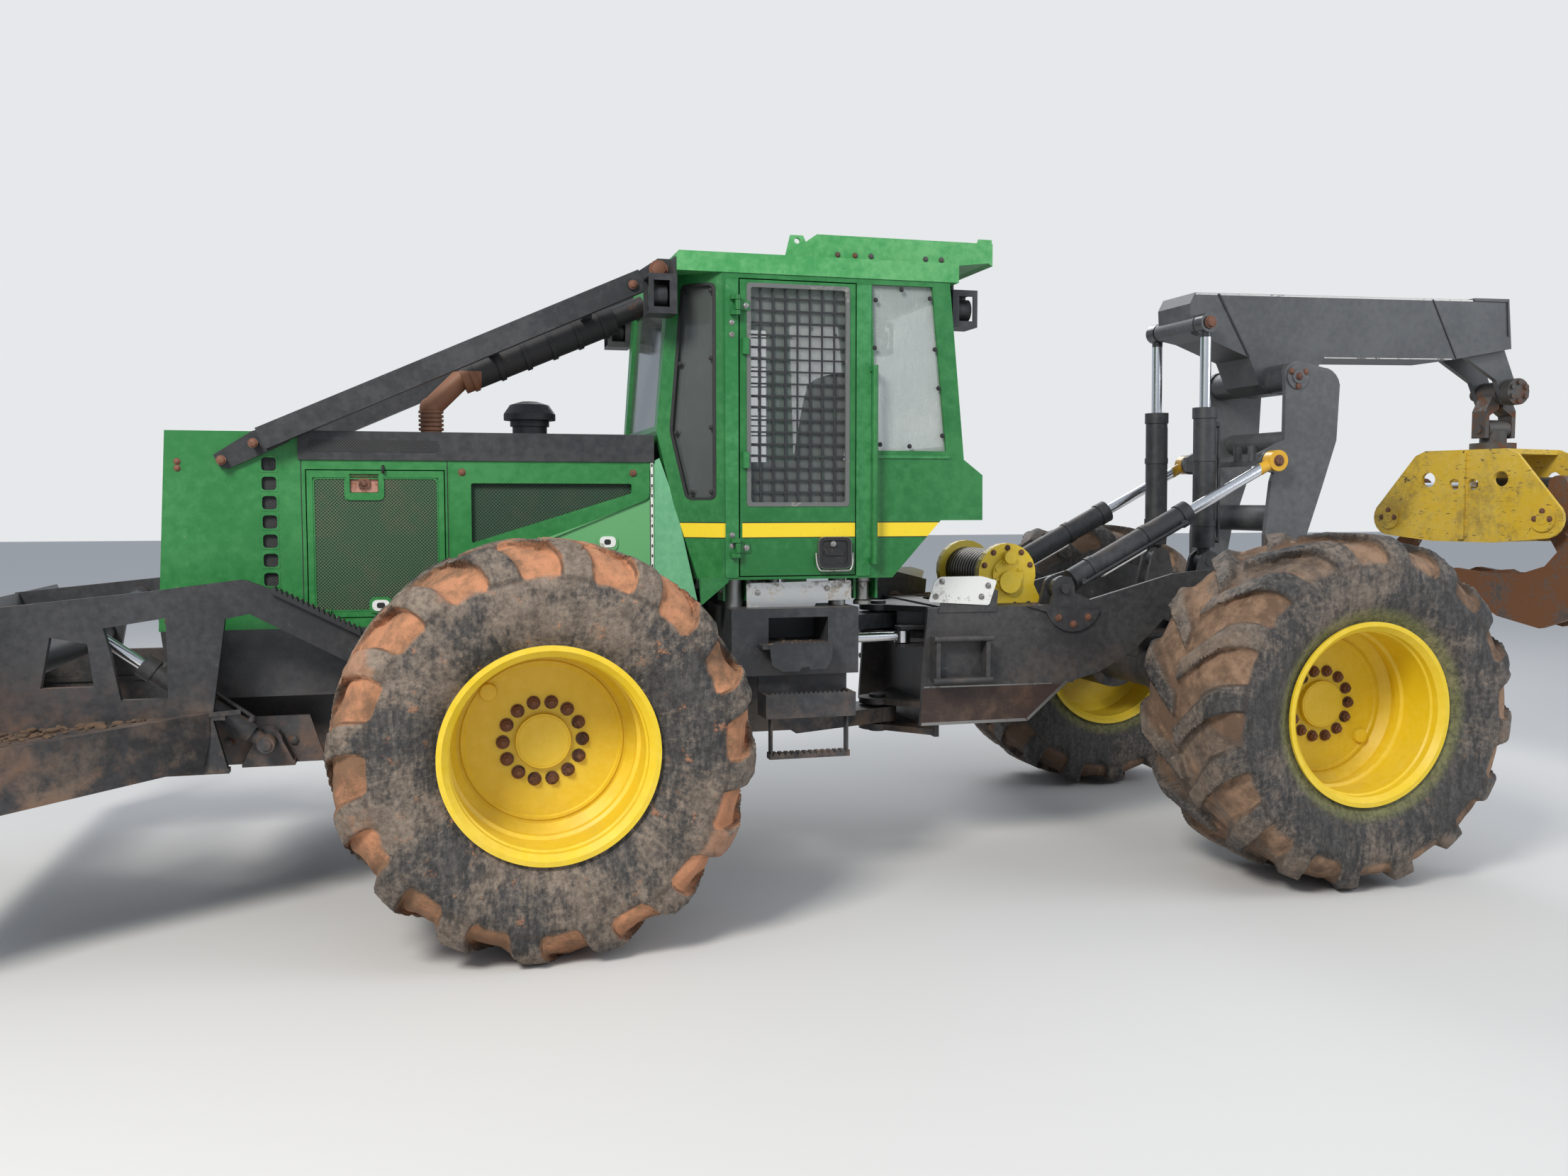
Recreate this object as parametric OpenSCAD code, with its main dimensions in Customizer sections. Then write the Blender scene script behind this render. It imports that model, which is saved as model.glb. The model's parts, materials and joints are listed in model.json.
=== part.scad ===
// Grapple skidder: an articulated log skidder with a front blade, a cab, a winch,
// and a grapple hung from an arch and boom. Millimetres. +X forward, +Y left, +Z up.
// The origin is on the ground, straight under the steering hinge.

/* [Wheels] */
// Distance between the front and rear axles
wheelbase = 3810; // [3700:10:3900]
// Distance between the left and right wheels' middle planes
track = 2440; // [2420:10:2480]
// Radius of a tyre over its lugs
tyre_r = 855; // [845:5:870]
// Width of a tyre over its sidewalls
tyre_w = 770; // [740:10:780]
// Height of a tyre's lugs over its casing
lug_h = 48; // [30:2:56]
// Number of lugs round each half of a tyre
lug_count = 16; // [14:1:18]
// Thickness of a lug, across its length
lug_w = 92; // [80:2:100]
// Radius of a rim over its flanges
rim_r = 440; // [430:5:450]
// Width of a rim over its flanges
rim_w = 690; // [670:10:710]
// Depth of a rim's disc behind its outer edge
dish = 400; // [360:10:420]
// Radius of the circle of wheel bolts
bolt_circle_r = 165; // [155:5:175]
// Number of bolts in a wheel
wheel_bolts = 14; // [12:1:16]

/* [Front frame] */
// Half the width over the two main rails
rail_half = 320; // [300:5:330]
// Thickness of a main rail
rail_t = 40; // [30:2:50]
// Height of the frame's underside
frame_low = 690; // [670:10:710]
// Height of the frame's top
frame_top = 1290; // [1280:5:1295]
// Half the width of the front frame over its skirts
skirt_half = 520; // [505:5:530]
// Thickness of skirts, decks and guards
plate_t = 20; // [12:1:24]
// Forward end of the frame
nose_x = 3435; // [3410:5:3450]
// Half the width over the step boxes
step_half = 800; // [780:5:810]
// Radius of the steering hinge's pins
hinge_pin_r = 45; // [35:1:55]

/* [Hood] */
// Rear end of the hood
hood_x0 = 1312; // [1308:1:1330]
// Foremost point of the hood, at its foot
hood_x1 = 3493; // [3470:1:3520]
// Height of the hood's top
hood_top_z = 2165; // [2140:5:2180]
// Thickness of the hood's walls
hood_t = 25; // [18:1:32]
// Depth of the black band along the hood's top
band_h = 123; // [100:1:140]
// Number of louvre windows in each side of the hood's nose
louvres = 7; // [5:1:8]
// Number of bars in the front grille
grille_bars = 9; // [6:1:12]

/* [Cab] */
// Half the width of the cab
cab_half = 750; // [735:5:760]
// Half the width of the windshield
shield_half = 520; // [500:5:540]
// Height of the cab's floor
cab_z0 = 1490; // [1485:1:1500]
// Height of the underside of the roof
roof_z0 = 2910; // [2890:5:2930]
// Thickness of the cab's walls and doors
cab_t = 40; // [32:1:46]
// Thickness of the cab's glass
glass_t = 6; // [5:1:10]
// Thickness of the roof's edge
roof_t = 90; // [80:2:100]
// Height of the hump on the roof
hump_h = 114; // [100:2:130]
// Gap around each door
door_gap = 6; // [5:1:8]
// Width of a square mesh in a door's guard
guard_pitch = 58; // [50:1:70]

/* [Rear frame] */
// Half the width over the rear frame's side plates
rear_half = 500; // [495:1:510]
// Thickness of the rear frame's side plates
rear_t = 25; // [20:1:30]
// Height of the rear frame's deck
rear_deck = 1315; // [1305:1:1320]
// Rear end of the frame, behind the hinge
rear_end = 2400; // [2390:5:2450]

/* [Arch and boom] */
// Half the width over the arch's plates
arch_half = 375; // [365:1:380]
// Thickness of the arch's plates
arch_t = 30; // [24:1:36]
// Half the width of the boom
boom_half = 165; // [150:1:175]
// Radius of an arch cylinder's barrel
arch_cyl_r = 60; // [50:1:64]
// Radius of a boom cylinder's barrel
boom_cyl_r = 62; // [50:1:65]
// Distance of the arch cylinders from the middle
arch_cyl_y = 440; // [438:1:444]
// Distance of the boom cylinders from the middle
boom_cyl_y = 250; // [245:1:255]

/* [Grapple] */
// Turn of the hanging grapple about the vertical, as it is parked
head_yaw = 14; // [-20:1:20]
// Distance between the pins of the two tongs
tong_span = 1000; // [940:10:1040]
// Depth of the grapple head, front to back
head_depth = 560; // [520:10:600]
// Thickness of the head's cheeks
cheek_t = 25; // [20:1:30]
// Thickness of a tong's plate
tong_t = 60; // [50:2:70]

/* [Blade] */
// Width of the blade
blade_w = 2900; // [2700:20:3000]
// Height of the blade
blade_h = 880; // [800:20:900]
// Thickness of the blade's plate
blade_t = 30; // [24:1:40]
// Foremost point of the blade
blade_x = 4400; // [4380:5:4450]
// Middle distance of the push arms from the centre line
arm_y = 750; // [745:1:755]
// Thickness of a push arm
arm_t = 40; // [30:2:44]
// Number of teeth along an arm's tread
tread_teeth = 17; // [10:1:20]

/* [Hidden] */
$fn = 48;

// running gap between a pin or rod and its bore, and seat gap between pieces that only rest
run_gap = 0.3;
seat_gap = 0.3;
// least gap between bodies that move past each other
swing_gap = 8;

GREEN = "#1f8a3b";
PALE_GREEN = "#4fae62";
YELLOW = "#f2c318";
BLACK = "#25272b";
DARK = "#3a3d42";
RUST = "#7a4a2c";
RUBBER = "#5d564f";
STEEL = "#b9bec4";
GLASS = "#9fb4bb";

// Places that several pieces share
axle_x = wheelbase / 2;
axle_z = tyre_r;
wheel_y = track / 2;
disc_y = wheel_y + rim_w / 2 - dish;
hub_r = 190;
axle_tube_r = 130;
blade_pivot = [2500, 1150];
blade_cyl_base = [3050, 800];
blade_cyl_eye = [3800, 1360];
blade_cyl_y = 640;
steer_base = [930, 400];
steer_eye = [-20, 330];
steer_z = 1157;
arch_pivot = [155 - rear_end, 1250];
arch_cyl_base = [-854, 1402];
arch_cyl_eye = [-2158, 2080];
boom_pivot = [-2335, 2550];
boom_cyl_base = [-1844, 1520];
boom_cyl_eye = [-1830, 2843];
hang = [-4030, 2520];
side_pin_z = 2300;
head_top = 2170;
tong_pin_z = 1755;
ear_z = 1950;

// Points on an arc in degrees, with both ends
function arc(cx, cy, r, a0, a1, n) =
    [for (i = [0:n]) let (a = a0 + (a1 - a0) * i / n) [cx + r * cos(a), cy + r * sin(a)]];
// The outline moved inwards by d; the outline runs anticlockwise
function unit(v) = v / norm(v);
function inset(p, d) = [for (i = [0:len(p) - 1])
    let (a = p[(i + len(p) - 1) % len(p)], b = p[i], c = p[(i + 1) % len(p)],
         u = unit(b - a), v = unit(c - b), m = [-u.y, u.x], n = [-v.y, v.x])
    b + d * (m + n) / (1 + m * n)];
function dist(a, b) = norm(b - a);
function elevation(a, b) = atan2(b.y - a.y, b.x - a.x);

// Extrudes an X-Z outline along Y, from y to y + t
module slab_y(y, t) translate([0, y + t, 0]) rotate([90, 0, 0]) linear_extrude(t) children();
// Extrudes an X-Z outline across the whole width, centred on Y = 0
module slab_mid(w) slab_y(-w / 2, w) children();
module box(a, b) translate(a) cube(b - a);
// A cylinder along Y whose middle is at [x, y, z]
module rod_y(p, y, r, w) translate([p.x, y, p.y]) rotate([90, 0, 0]) cylinder(r = r, h = w, center = true);
module rod_x(p, r, w) translate(p) rotate([0, 90, 0]) cylinder(r = r, h = w, center = true);
module both() { children(); mirror([0, 1, 0]) children(); }
// Puts a piece drawn along +X on the line from one X-Z point to another, at Y = y
module on_line(a, b, y) translate([a.x, y, a.y]) rotate([0, -elevation(a, b), 0]) children();
// A straight tube between two X-Z points
module strut(a, b, y, r) on_line(a, b, y) rotate([0, 90, 0]) cylinder(r = r, h = dist(a, b));

// A cylinder's barrel along +X: base eye at the origin, body from start to the gland at len
module barrel(r, len, eye_r, eye_w, pin_r, rod_r, start) {
    difference() {
        union() {
            rotate([90, 0, 0]) cylinder(r = eye_r, h = eye_w, center = true);
            translate([eye_r * 0.5, 0, 0]) rotate([0, 90, 0]) cylinder(r = min(eye_w / 2 - 3, eye_r - 2),
                h = start - eye_r * 0.5 + 2);
            translate([start, 0, 0]) rotate([0, 90, 0]) cylinder(r = r, h = len - start);
            translate([len - 60, 0, 0]) rotate([0, 90, 0]) cylinder(r = r + 6, h = 60);
        }
        rotate([90, 0, 0]) cylinder(r = pin_r + run_gap, h = eye_w + 2, center = true);
        translate([start + 14, 0, 0]) rotate([0, 90, 0]) cylinder(r = rod_r + run_gap, h = len);
    }
}
// A cylinder's rod along +X: rod eye at reach, tail inside the barrel
module rod(reach, tail, rod_r, eye_r, eye_w) {
    translate([tail, 0, 0]) rotate([0, 90, 0]) cylinder(r = rod_r, h = reach - tail - eye_r * 0.6);
    translate([reach, 0, 0]) rotate([90, 0, 0]) cylinder(r = eye_r, h = eye_w, center = true);
}

// Wheels: a tyre and its rim are drawn about the Z axis, outer face up, and turned into place
module place_wheel(x, side) translate([x, side * wheel_y, axle_z]) rotate([-90 * side, 0, 0]) children();
bead_w = rim_w - 2 * 30.5;
seat_r = rim_r - 34;
casing_r = tyre_r - lug_h;
// Slant of a lug against the wheel's axis
lug_slant = 35;
module tyre(side) color(RUBBER) {
    half = [[seat_r + seat_gap, bead_w / 2], [rim_r + 12, bead_w / 2], [rim_r + 120, tyre_w / 2 - 7],
        [rim_r + 200, tyre_w / 2], [casing_r - 67, tyre_w / 2 - 35], [casing_r, tyre_w / 2 - 155]];
    rotate_extrude($fn = 96) polygon(concat(half, [for (i = [5:-1:0]) [half[i].x, -half[i].y]]));
    for (i = [0:lug_count - 1], s = [0, 1]) rotate((i + s / 2) * 360 / lug_count)
        mirror([0, 0, s]) rotate([side * lug_slant, 0, 0]) lug();
}
// One slanted lug as its side outline: radius and distance along it from the tread's quarter
module lug() {
    quarter = tyre_w / 4;
    slope = cos(lug_slant);
    translate([0, 0, quarter / slope]) rotate([90, 0, 0]) linear_extrude(lug_w, center = true) polygon([
        for (p = [[casing_r - 30, 28], [tyre_r - 15, 28], [tyre_r - 2, quarter],
            [tyre_r - 5, tyre_w / 2 - 130], [tyre_r - 66, tyre_w / 2 - 62],
            [tyre_r - 150, tyre_w / 2 - 28], [rim_r + 215, tyre_w / 2 - 50]])
            [p.x, (p.y - quarter) / slope]]);
}
module rim() color(YELLOW) {
    half = rim_w / 2;
    wall = 11;
    rotate_extrude($fn = 96) polygon([
            [seat_r - wall, -half + 26], [seat_r - wall + 24, -half], [rim_r, -half], [rim_r, -half + 14],
            [seat_r + 18, -half + 22], [seat_r, -half + 30], [seat_r, half - 30], [seat_r + 18, half - 22],
            [rim_r, half - 14], [rim_r, half], [seat_r - wall + 24, half], [seat_r - wall, half - 26],
            [seat_r - wall, half - dish + 60], [seat_r - wall - 40, half - dish + 22],
            [0, half - dish + 22], [0, half - dish], [seat_r - wall - 40, half - dish],
            [seat_r - wall, half - dish - 40]]);
    translate([0, 0, half - dish + 21]) difference() {
        cylinder(r = bolt_circle_r - 51, h = 25);
        translate([0, 0, 2]) cylinder(r = bolt_circle_r - 93, h = 30);
    }
    for (i = [0:wheel_bolts - 1]) rotate(i * 360 / wheel_bolts)
        translate([bolt_circle_r, 0, half - dish + 20]) {
            cylinder(r = 17, h = 16, $fn = 6);
            cylinder(r = 11, h = 30, $fn = 24);
        }
}

// Front frame: rails, tongues for the steering hinge, nose, skirts, step boxes and lugs
rear_wall_x = 540;
axle_notch = 300;
module front_frame() color(BLACK) {
    rail = [[rear_wall_x, frame_low], [axle_x - axle_notch - 60, frame_low],
        [axle_x - axle_notch, axle_z + 200], [axle_x + axle_notch, axle_z + 200],
        [axle_x + axle_notch + 60, frame_low], [nose_x - 60, frame_low],
        [nose_x, frame_low + 60], [nose_x, frame_top], [rear_wall_x, frame_top]];
    both() slab_y(rail_half - rail_t, rail_t) polygon(rail);
    box([rear_wall_x, -rail_half, frame_low], [rear_wall_x + 35, rail_half, frame_top]);
    box([rear_wall_x, -rail_half, frame_low], [axle_x - axle_notch - 80, rail_half, frame_low + plate_t]);
    box([axle_x + axle_notch + 80, -rail_half, frame_low], [nose_x - 60, rail_half, frame_low + plate_t]);
    box([rear_wall_x, -rail_half, frame_top - plate_t], [hood_x0 - 60, rail_half, frame_top]);
    // cradle plates that carry the axle's trunnions
    for (s = [-1, 1]) difference() {
        box([axle_x + s * (axle_notch - 20) - 20, -rail_half, axle_z - 110],
            [axle_x + s * (axle_notch - 20) + 20, rail_half, axle_z + 260]);
        rod_x([axle_x + s * (axle_notch - 20), 0, axle_z], 60 + run_gap, 60);
    }
    // nose plate and skirts
    box([nose_x, -skirt_half, frame_low], [nose_x + 30, skirt_half, frame_top]);
    both() {
        slab_y(skirt_half - plate_t, plate_t) polygon([[2707, 1100], [2760, 990], [nose_x - 40, 990],
            [nose_x, 1030], [nose_x, frame_top], [2930, frame_top], [2707, 1180]]);
        slab_y(rail_half, skirt_half - rail_half) polygon([[hood_x0 - 40, frame_top - plate_t],
            [nose_x, frame_top - plate_t], [nose_x, frame_top], [hood_x0 - 40, frame_top]]);
        slab_y(rail_half, skirt_half - rail_half) polygon([[2900, 655 + 35], [nose_x, 690],
            [nose_x, 710], [2900, 710]]);
        slab_y(skirt_half - plate_t, plate_t) polygon([[2815, 690], [3325, 690], [3280, 900], [2880, 900]]);
    }
    // steering tongues
    for (z = [670, 1180]) difference() {
        union() {
            translate([0, 0, z]) cylinder(r = 105, h = 80);
            translate([0, 0, z]) linear_extrude(80)
                polygon([[0, -105], [rear_wall_x + 10, -rail_half], [rear_wall_x + 10, rail_half], [0, 105]]);
        }
        translate([0, 0, z - 1]) cylinder(r = hinge_pin_r + run_gap, h = 82);
    }
    both() {
        step_box();
        // bosses for the blade's arms
        rod_y(blade_pivot, (rail_half + arm_y - arm_t / 2 - seat_gap) / 2, 75,
            arm_y - arm_t / 2 - seat_gap - rail_half);
        rod_y(blade_pivot, (rail_half + arm_y + arm_t / 2 + 16) / 2, 45, arm_y + arm_t / 2 + 16 - rail_half);
        // thick lug for the blade cylinder's base, with its pin and keeper
        slab_y(skirt_half, 80) polygon(concat([[2940, 700], [3160, 700]],
            arc(blade_cyl_base.x, blade_cyl_base.y, 60, 0, 180, 8)));
        slab_y(rail_half, skirt_half + 80 - rail_half) polygon([[2940, 690], [3160, 690], [3160, 712], [2940, 712]]);
        rod_y(blade_cyl_base, blade_cyl_y - 8, 22, 130);
        rod_y(blade_cyl_base, blade_cyl_y + 43, 36, 12);
        // lugs and pin for the steering cylinder's base
        for (z = [steer_z - 52, steer_z + 37]) translate([0, 0, z]) linear_extrude(15)
            polygon(concat([[steer_base.x - 50, rail_half - 1], [steer_base.x + 90, rail_half - 1]],
                arc(steer_base.x, steer_base.y, 40, 0, 180, 8)));
        translate([steer_base.x, steer_base.y, steer_z - 60]) cylinder(r = 18, h = 120);
        // posts under the cab
        for (x = [430, 950]) translate([x, 620, 1355]) cylinder(r = 42, h = cab_z0 - 1355 - seat_gap);
    }
}
step_x0 = 378;
step_x1 = 1000;
module step_box() {
    difference() {
        box([step_x0, skirt_half, 1040], [step_x1, step_half, 1355]);
        // step pocket, open outwards
        box([530, step_half - 240, 1190], [822, step_half + 1, 1312]);
        box([step_x0 + 15, skirt_half - 1, 1055], [step_x1 - 15, step_half - 255, 1335]);
    }
    box([527, step_half - 240, 1175], [875, step_half + 100, 1192]);
    box([rear_wall_x, rail_half, 1335], [step_x1, skirt_half + 1, 1355]);
    box([rear_wall_x, rail_half - rail_t, frame_top - 1], [step_x1, rail_half, 1355]);
    box([step_x1 - 20, rail_half, 1040], [step_x1, skirt_half + 1, 1355]);
    // lower step tray
    difference() {
        box([423, step_half - 60, 850], [860, step_half + 100, 962]);
        box([437, step_half - 46, 862], [846, step_half + 86, 963]);
    }
    box([423, step_half - 60, 850], [860, step_half - 45, 1045]);
    // loop step: straps down from the tray, and a bar whose upper edge is toothed
    for (x = [452, 822]) box([x, step_half + 28, 668], [x + 9, step_half + 76, 870]);
    slab_y(step_half + 22, 60) polygon(concat([[446, 656], [837, 656], [837, 684]],
        [for (i = [12:-1:0]) let (x = 456 + i * 30) each [[x + 12, 684], [x + 6, 672], [x, 684]]],
        [[446, 684]]));
}

rear_low = 1051;
module front_axle() color(BLACK) {
    rod_y([axle_x, axle_z], 0, axle_tube_r, 2 * (wheel_y - rim_w / 2 - 30));
    translate([axle_x, 0, axle_z]) sphere(r = 215);
    rod_x([axle_x, 0, axle_z], 60, 2 * (axle_notch + 10));
    both() axle_hub(axle_x);
}
module axle_hub(x) {
    rod_y([x, axle_z], (wheel_y - rim_w / 2 - 60 + disc_y - seat_gap) / 2, hub_r,
        disc_y - seat_gap - (wheel_y - rim_w / 2 - 60));
}
module rear_axle() color(BLACK) {
    rod_y([-axle_x, axle_z], 0, axle_tube_r, 2 * (wheel_y - rim_w / 2 - 30));
    translate([-axle_x, 0, axle_z]) sphere(r = 230);
    both() {
        axle_hub(-axle_x);
        box([-axle_x - 120, 330, axle_z + 60], [-axle_x + 120, rear_half - 10, rear_low - seat_gap]);
    }
}
module engine() color(DARK) box([axle_x - axle_notch, -rail_half + rail_t + 20, axle_z + 260 + seat_gap],
    [3050, rail_half - rail_t - 20, 1950]);

// Hood: green side walls and nose, open below, with the engine doors' openings
door_x0 = 2275;
door_x1 = 2877;
door_z0 = 1331;
door_z1 = 2000;
seam_x = 2905;
nose_top_x = 3447;
mesh_side = [[1420, 1895], [2160, 1665], [2160, 1940], [1420, 1940]];
module hood_outline(d) polygon([[hood_x0 + d, frame_top + seat_gap + (d > 0 ? -50 : 0)],
    [hood_x1 - d, frame_top + seat_gap + (d > 0 ? -50 : 0)],
    [nose_top_x - d, hood_top_z - d], [hood_x0 + d, hood_top_z - d]]);
module hood() {
    hood_shell();
    sill_hinges();
}
module hood_shell() color(GREEN) difference() {
    slab_mid(2 * skirt_half) hood_outline(0);
    slab_mid(2 * (skirt_half - hood_t)) hood_outline(hood_t);
    // the black top takes the place of the roof behind the seam
    box([hood_x0 - 1, -skirt_half - 1, hood_top_z - band_h], [seam_x, skirt_half + 1, hood_top_z + 1]);
    both() {
        slab_y(skirt_half - hood_t - 1, hood_t + 2) polygon([[door_x0, door_z0], [door_x1, door_z0],
            [door_x1, door_z1], [door_x0, door_z1]]);
        slab_y(skirt_half - hood_t - 1, hood_t + 2) polygon(mesh_side);
        for (i = [0:louvres - 1]) translate([2995, skirt_half - hood_t - 1, 1480 + i * 595 / louvres])
            cube([65, hood_t + 2, 595 / louvres - 22]);
    }
    // front grille opening
    box([nose_top_x - 100, -skirt_half + 90, 1400], [hood_x1 + 10, skirt_half - 90, 2085]);
}
// fixed knuckles and pins of the engine doors' hinges
module sill_hinges() color(GREEN) both() for (x = engine_hinge_xs) {
    rod_x([x, engine_hinge_y, door_z0], 5, 104);
    for (s = [-1, 1]) {
        rod_x([x + s * 40, engine_hinge_y, door_z0], 11, 24);
        box([x + s * 40 - 12, skirt_half - 1, door_z0 - 30], [x + s * 40 + 12, engine_hinge_y, door_z0 - 6]);
    }
}
module hood_top() color(BLACK) {
    difference() {
        box([hood_x0, -skirt_half - 8, hood_top_z - band_h + seat_gap], [seam_x - seat_gap, skirt_half + 8, hood_top_z + 6]);
        box([hood_x0 + hood_t, -skirt_half + 16, hood_top_z - band_h - 1],
            [seam_x - hood_t, skirt_half - 16, hood_top_z - 14]);
        both() box([2305, skirt_half - 20, 2085], [2855, skirt_half + 20, 2125]);
    }
    // air cleaner's rain cap on its neck
    translate([1858, 100, hood_top_z + 5]) {
        cylinder(r = 84, h = 60);
        translate([0, 0, 55]) cylinder(r = 95, h = 30);
        translate([0, 0, 85]) rotate_extrude() polygon([[0, 0], [126, 0], [126, 30], [95, 75], [40, 92], [0, 95]]);
    }
}
function nose_face(z) = hood_x1 + (nose_top_x - hood_x1) * (z - frame_top) / (hood_top_z - frame_top);
module hood_screens() color(DARK) {
    // side screens lie in their openings, the bars stand in the nose's opening
    both() slab_y(skirt_half - hood_t + 4, 5) polygon(inset(mesh_side, seat_gap));
    for (i = [0:grille_bars - 1]) {
        z = 1400 + (i + 0.5) * 685 / grille_bars;
        x = nose_face(z);
        box([x - 22, -skirt_half + 90 + seat_gap, z - 9], [x - 4, skirt_half - 90 - seat_gap, z + 9]);
    }
    for (y = [-200, 0, 200]) slab_y(y - 8, 16) polygon([[nose_face(1400) - 30, 1400 + seat_gap],
        [nose_face(1400) - 16, 1400 + seat_gap], [nose_face(2085) - 16, 2085 - seat_gap],
        [nose_face(2085) - 30, 2085 - seat_gap]]);
}
riser_y = 565;
module limb_risers() color(BLACK) both() {
    a = [3050, 2125];
    b = [1370, 2880];
    on_line(a, b, riser_y) box([0, -35, -55], [dist(a, b), 35, 45]);
    // foot plate down to the hood's side
    slab_y(skirt_half + seat_gap, 20) polygon([[3228, 2010], [3250, 2060], [3090, 2165], [2960, 2205], [2940, 2120],
        [3060, 2060], [3190, 2000]]);
    rod_y([3215, 2036], skirt_half + 25, 18, 50);
    rod_y([3080, 2110], riser_y, 16, 84);
    rod_y([1420, 2858], riser_y, 24, 96);
    // head plate on the cab's roof corner
    x = roof_x1 + seat_gap;
    slab_y(riser_y - 30, 60) polygon([[1400, 2835], [1440, 2890], [1300, 2985], [x, 2985], [x, 2918], [1300, 2880]]);
}
module exhaust() color(DARK) {
    translate([2330, 350, hood_top_z + 6 + seat_gap]) cylinder(r = 48, h = 120);
    // bellows of the flexible joint
    for (i = [0:4]) translate([2330, 350, hood_top_z + 22 + i * 20]) cylinder(r = 57, h = 11);
    // bands of the heat guard
    for (i = [0:5]) on_line([2190, 2430], [1480, 2735], 350)
        translate([40 + i * 132, 0, 0]) rotate([0, 90, 0]) cylinder(r = 82, h = 22);
    strut([2330, 2290], [2170, 2450], 350, 48);
    strut([2190, 2430], [1480, 2735], 350, 75);
    strut([1500, 2726], [1330, 2800], 350, 48);
    for (p = [[2330, 2290], [2170, 2450]]) translate([p.x, 350, p.y]) sphere(r = 52);
    // straps across to the left riser
    for (p = [[2050, 2495], [1620, 2675]]) box([p.x - 20, 350, p.y + 34], [p.x + 20, riser_y - 35 - seat_gap, p.y + 64]);
}

// Cab: shell with sloping rear, bowed front and cut windows
cab_side = [[190, cab_z0], [1130, cab_z0], [1230, 1845], [1300, 2190], [1240, roof_z0], [-97, roof_z0],
    [-178, 2060], [-277, 1985], [-279, 1765], [-60, 1765]];
post_x = 1030;
cab_plan = [[-290, -cab_half], [post_x, -cab_half], [1310, -shield_half], [1310, shield_half],
    [post_x, cab_half], [-290, cab_half]];
cab_door_x0 = 375;
cab_door_x1 = 951;
cab_door_z0 = cab_z0 + 12;
cab_door_z1 = roof_z0 - 22;
module cab_solid(d) intersection() {
    slab_mid(2 * cab_half + 2) polygon(inset(cab_side, d));
    translate([0, 0, 1400]) linear_extrude(1600) polygon(inset(cab_plan, d));
}
module side_windows(g) both() {
    slab_y(cab_half - cab_t - 60, cab_t + 90) polygon(inset([[-86, 2100], [275, 2100], [300, 2885], [-8, 2885]], g));
    slab_y(shield_half - 30, cab_half - shield_half + 60) polygon(inset([[1062, 1870], [1175, 1870], [1240, 2190],
        [1190, 2860], [1062, 2860]], g));
}
module end_windows(g) {
    box([1150, -shield_half + 60 + g, 2215 + g], [1400, shield_half - 60 - g, 2850 - g]);
    box([-250, -cab_half + 110 + g, 2130 + g], [40, cab_half - 110 - g, 2840 - g]);
}
module cab() color(GREEN) {
    difference() {
        cab_solid(0);
        cab_solid(cab_t);
        both() box([cab_door_x0, cab_half - cab_t - 1, cab_door_z0], [cab_door_x1, cab_half + 1, cab_door_z1]);
        side_windows(0);
        end_windows(0);
    }
    both() {
        // kick plate below the front post
        slab_y(cab_half - cab_t, cab_t) polygon([[1000, 1500], [1002, 1480], [1128, 1376], [1135, 1500]]);
        // grab rail behind the door
        translate([300, cab_half + 55, 1560]) cylinder(r = 14, h = 940);
        for (z = [1575, 2485]) box([288, cab_half - 1, z - 12], [312, cab_half + 55, z + 12]);
        // outer knuckles and pins of the door's hinges
        for (z = door_hinge_zs) {
            translate([door_hinge.x, door_hinge.y, z - 45]) cylinder(r = 6, h = 90);
            for (s = [-45, 25]) {
                translate([door_hinge.x, door_hinge.y, z + s]) cylinder(r = 14, h = 20);
                box([door_hinge.x, cab_half - 1, z + s], [door_hinge.x + 34, door_hinge.y + 8, z + s + 20]);
            }
        }
    }
}
roof_x0 = -142;
roof_x1 = 1240;
module cab_roof() color(PALE_GREEN) {
    z1 = roof_z0 + roof_t;
    difference() {
        union() {
            slab_mid(2 * cab_half + 10) polygon([[roof_x0, roof_z0 + seat_gap], [roof_x1, roof_z0 + seat_gap],
                [roof_x1, z1 - 10], [roof_x1 - 10, z1], [roof_x0, z1]]);
            slab_mid(2 * cab_half - 90) polygon([[-339, z1 + 6], [-339, z1 + hump_h], [560, z1 + hump_h],
                [715, z1 + 6], [715, z1 - 1], [-142, z1 - 1], [-318, z1 + 20]]);
            both() roof_ear() slab_y(-7, 14) polygon([[570, -10], [715, -10], [682, 110], [620, 110]]);
            both() slab_y(cab_half - 70, 14) polygon([[-339, z1 + 60], [-250, z1 + 60], [-270, z1 + 135], [-339, z1 + 135]]);
        }
        both() roof_ear() rod_y([650, 84], 0, 14, 20);
    }
}
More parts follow.
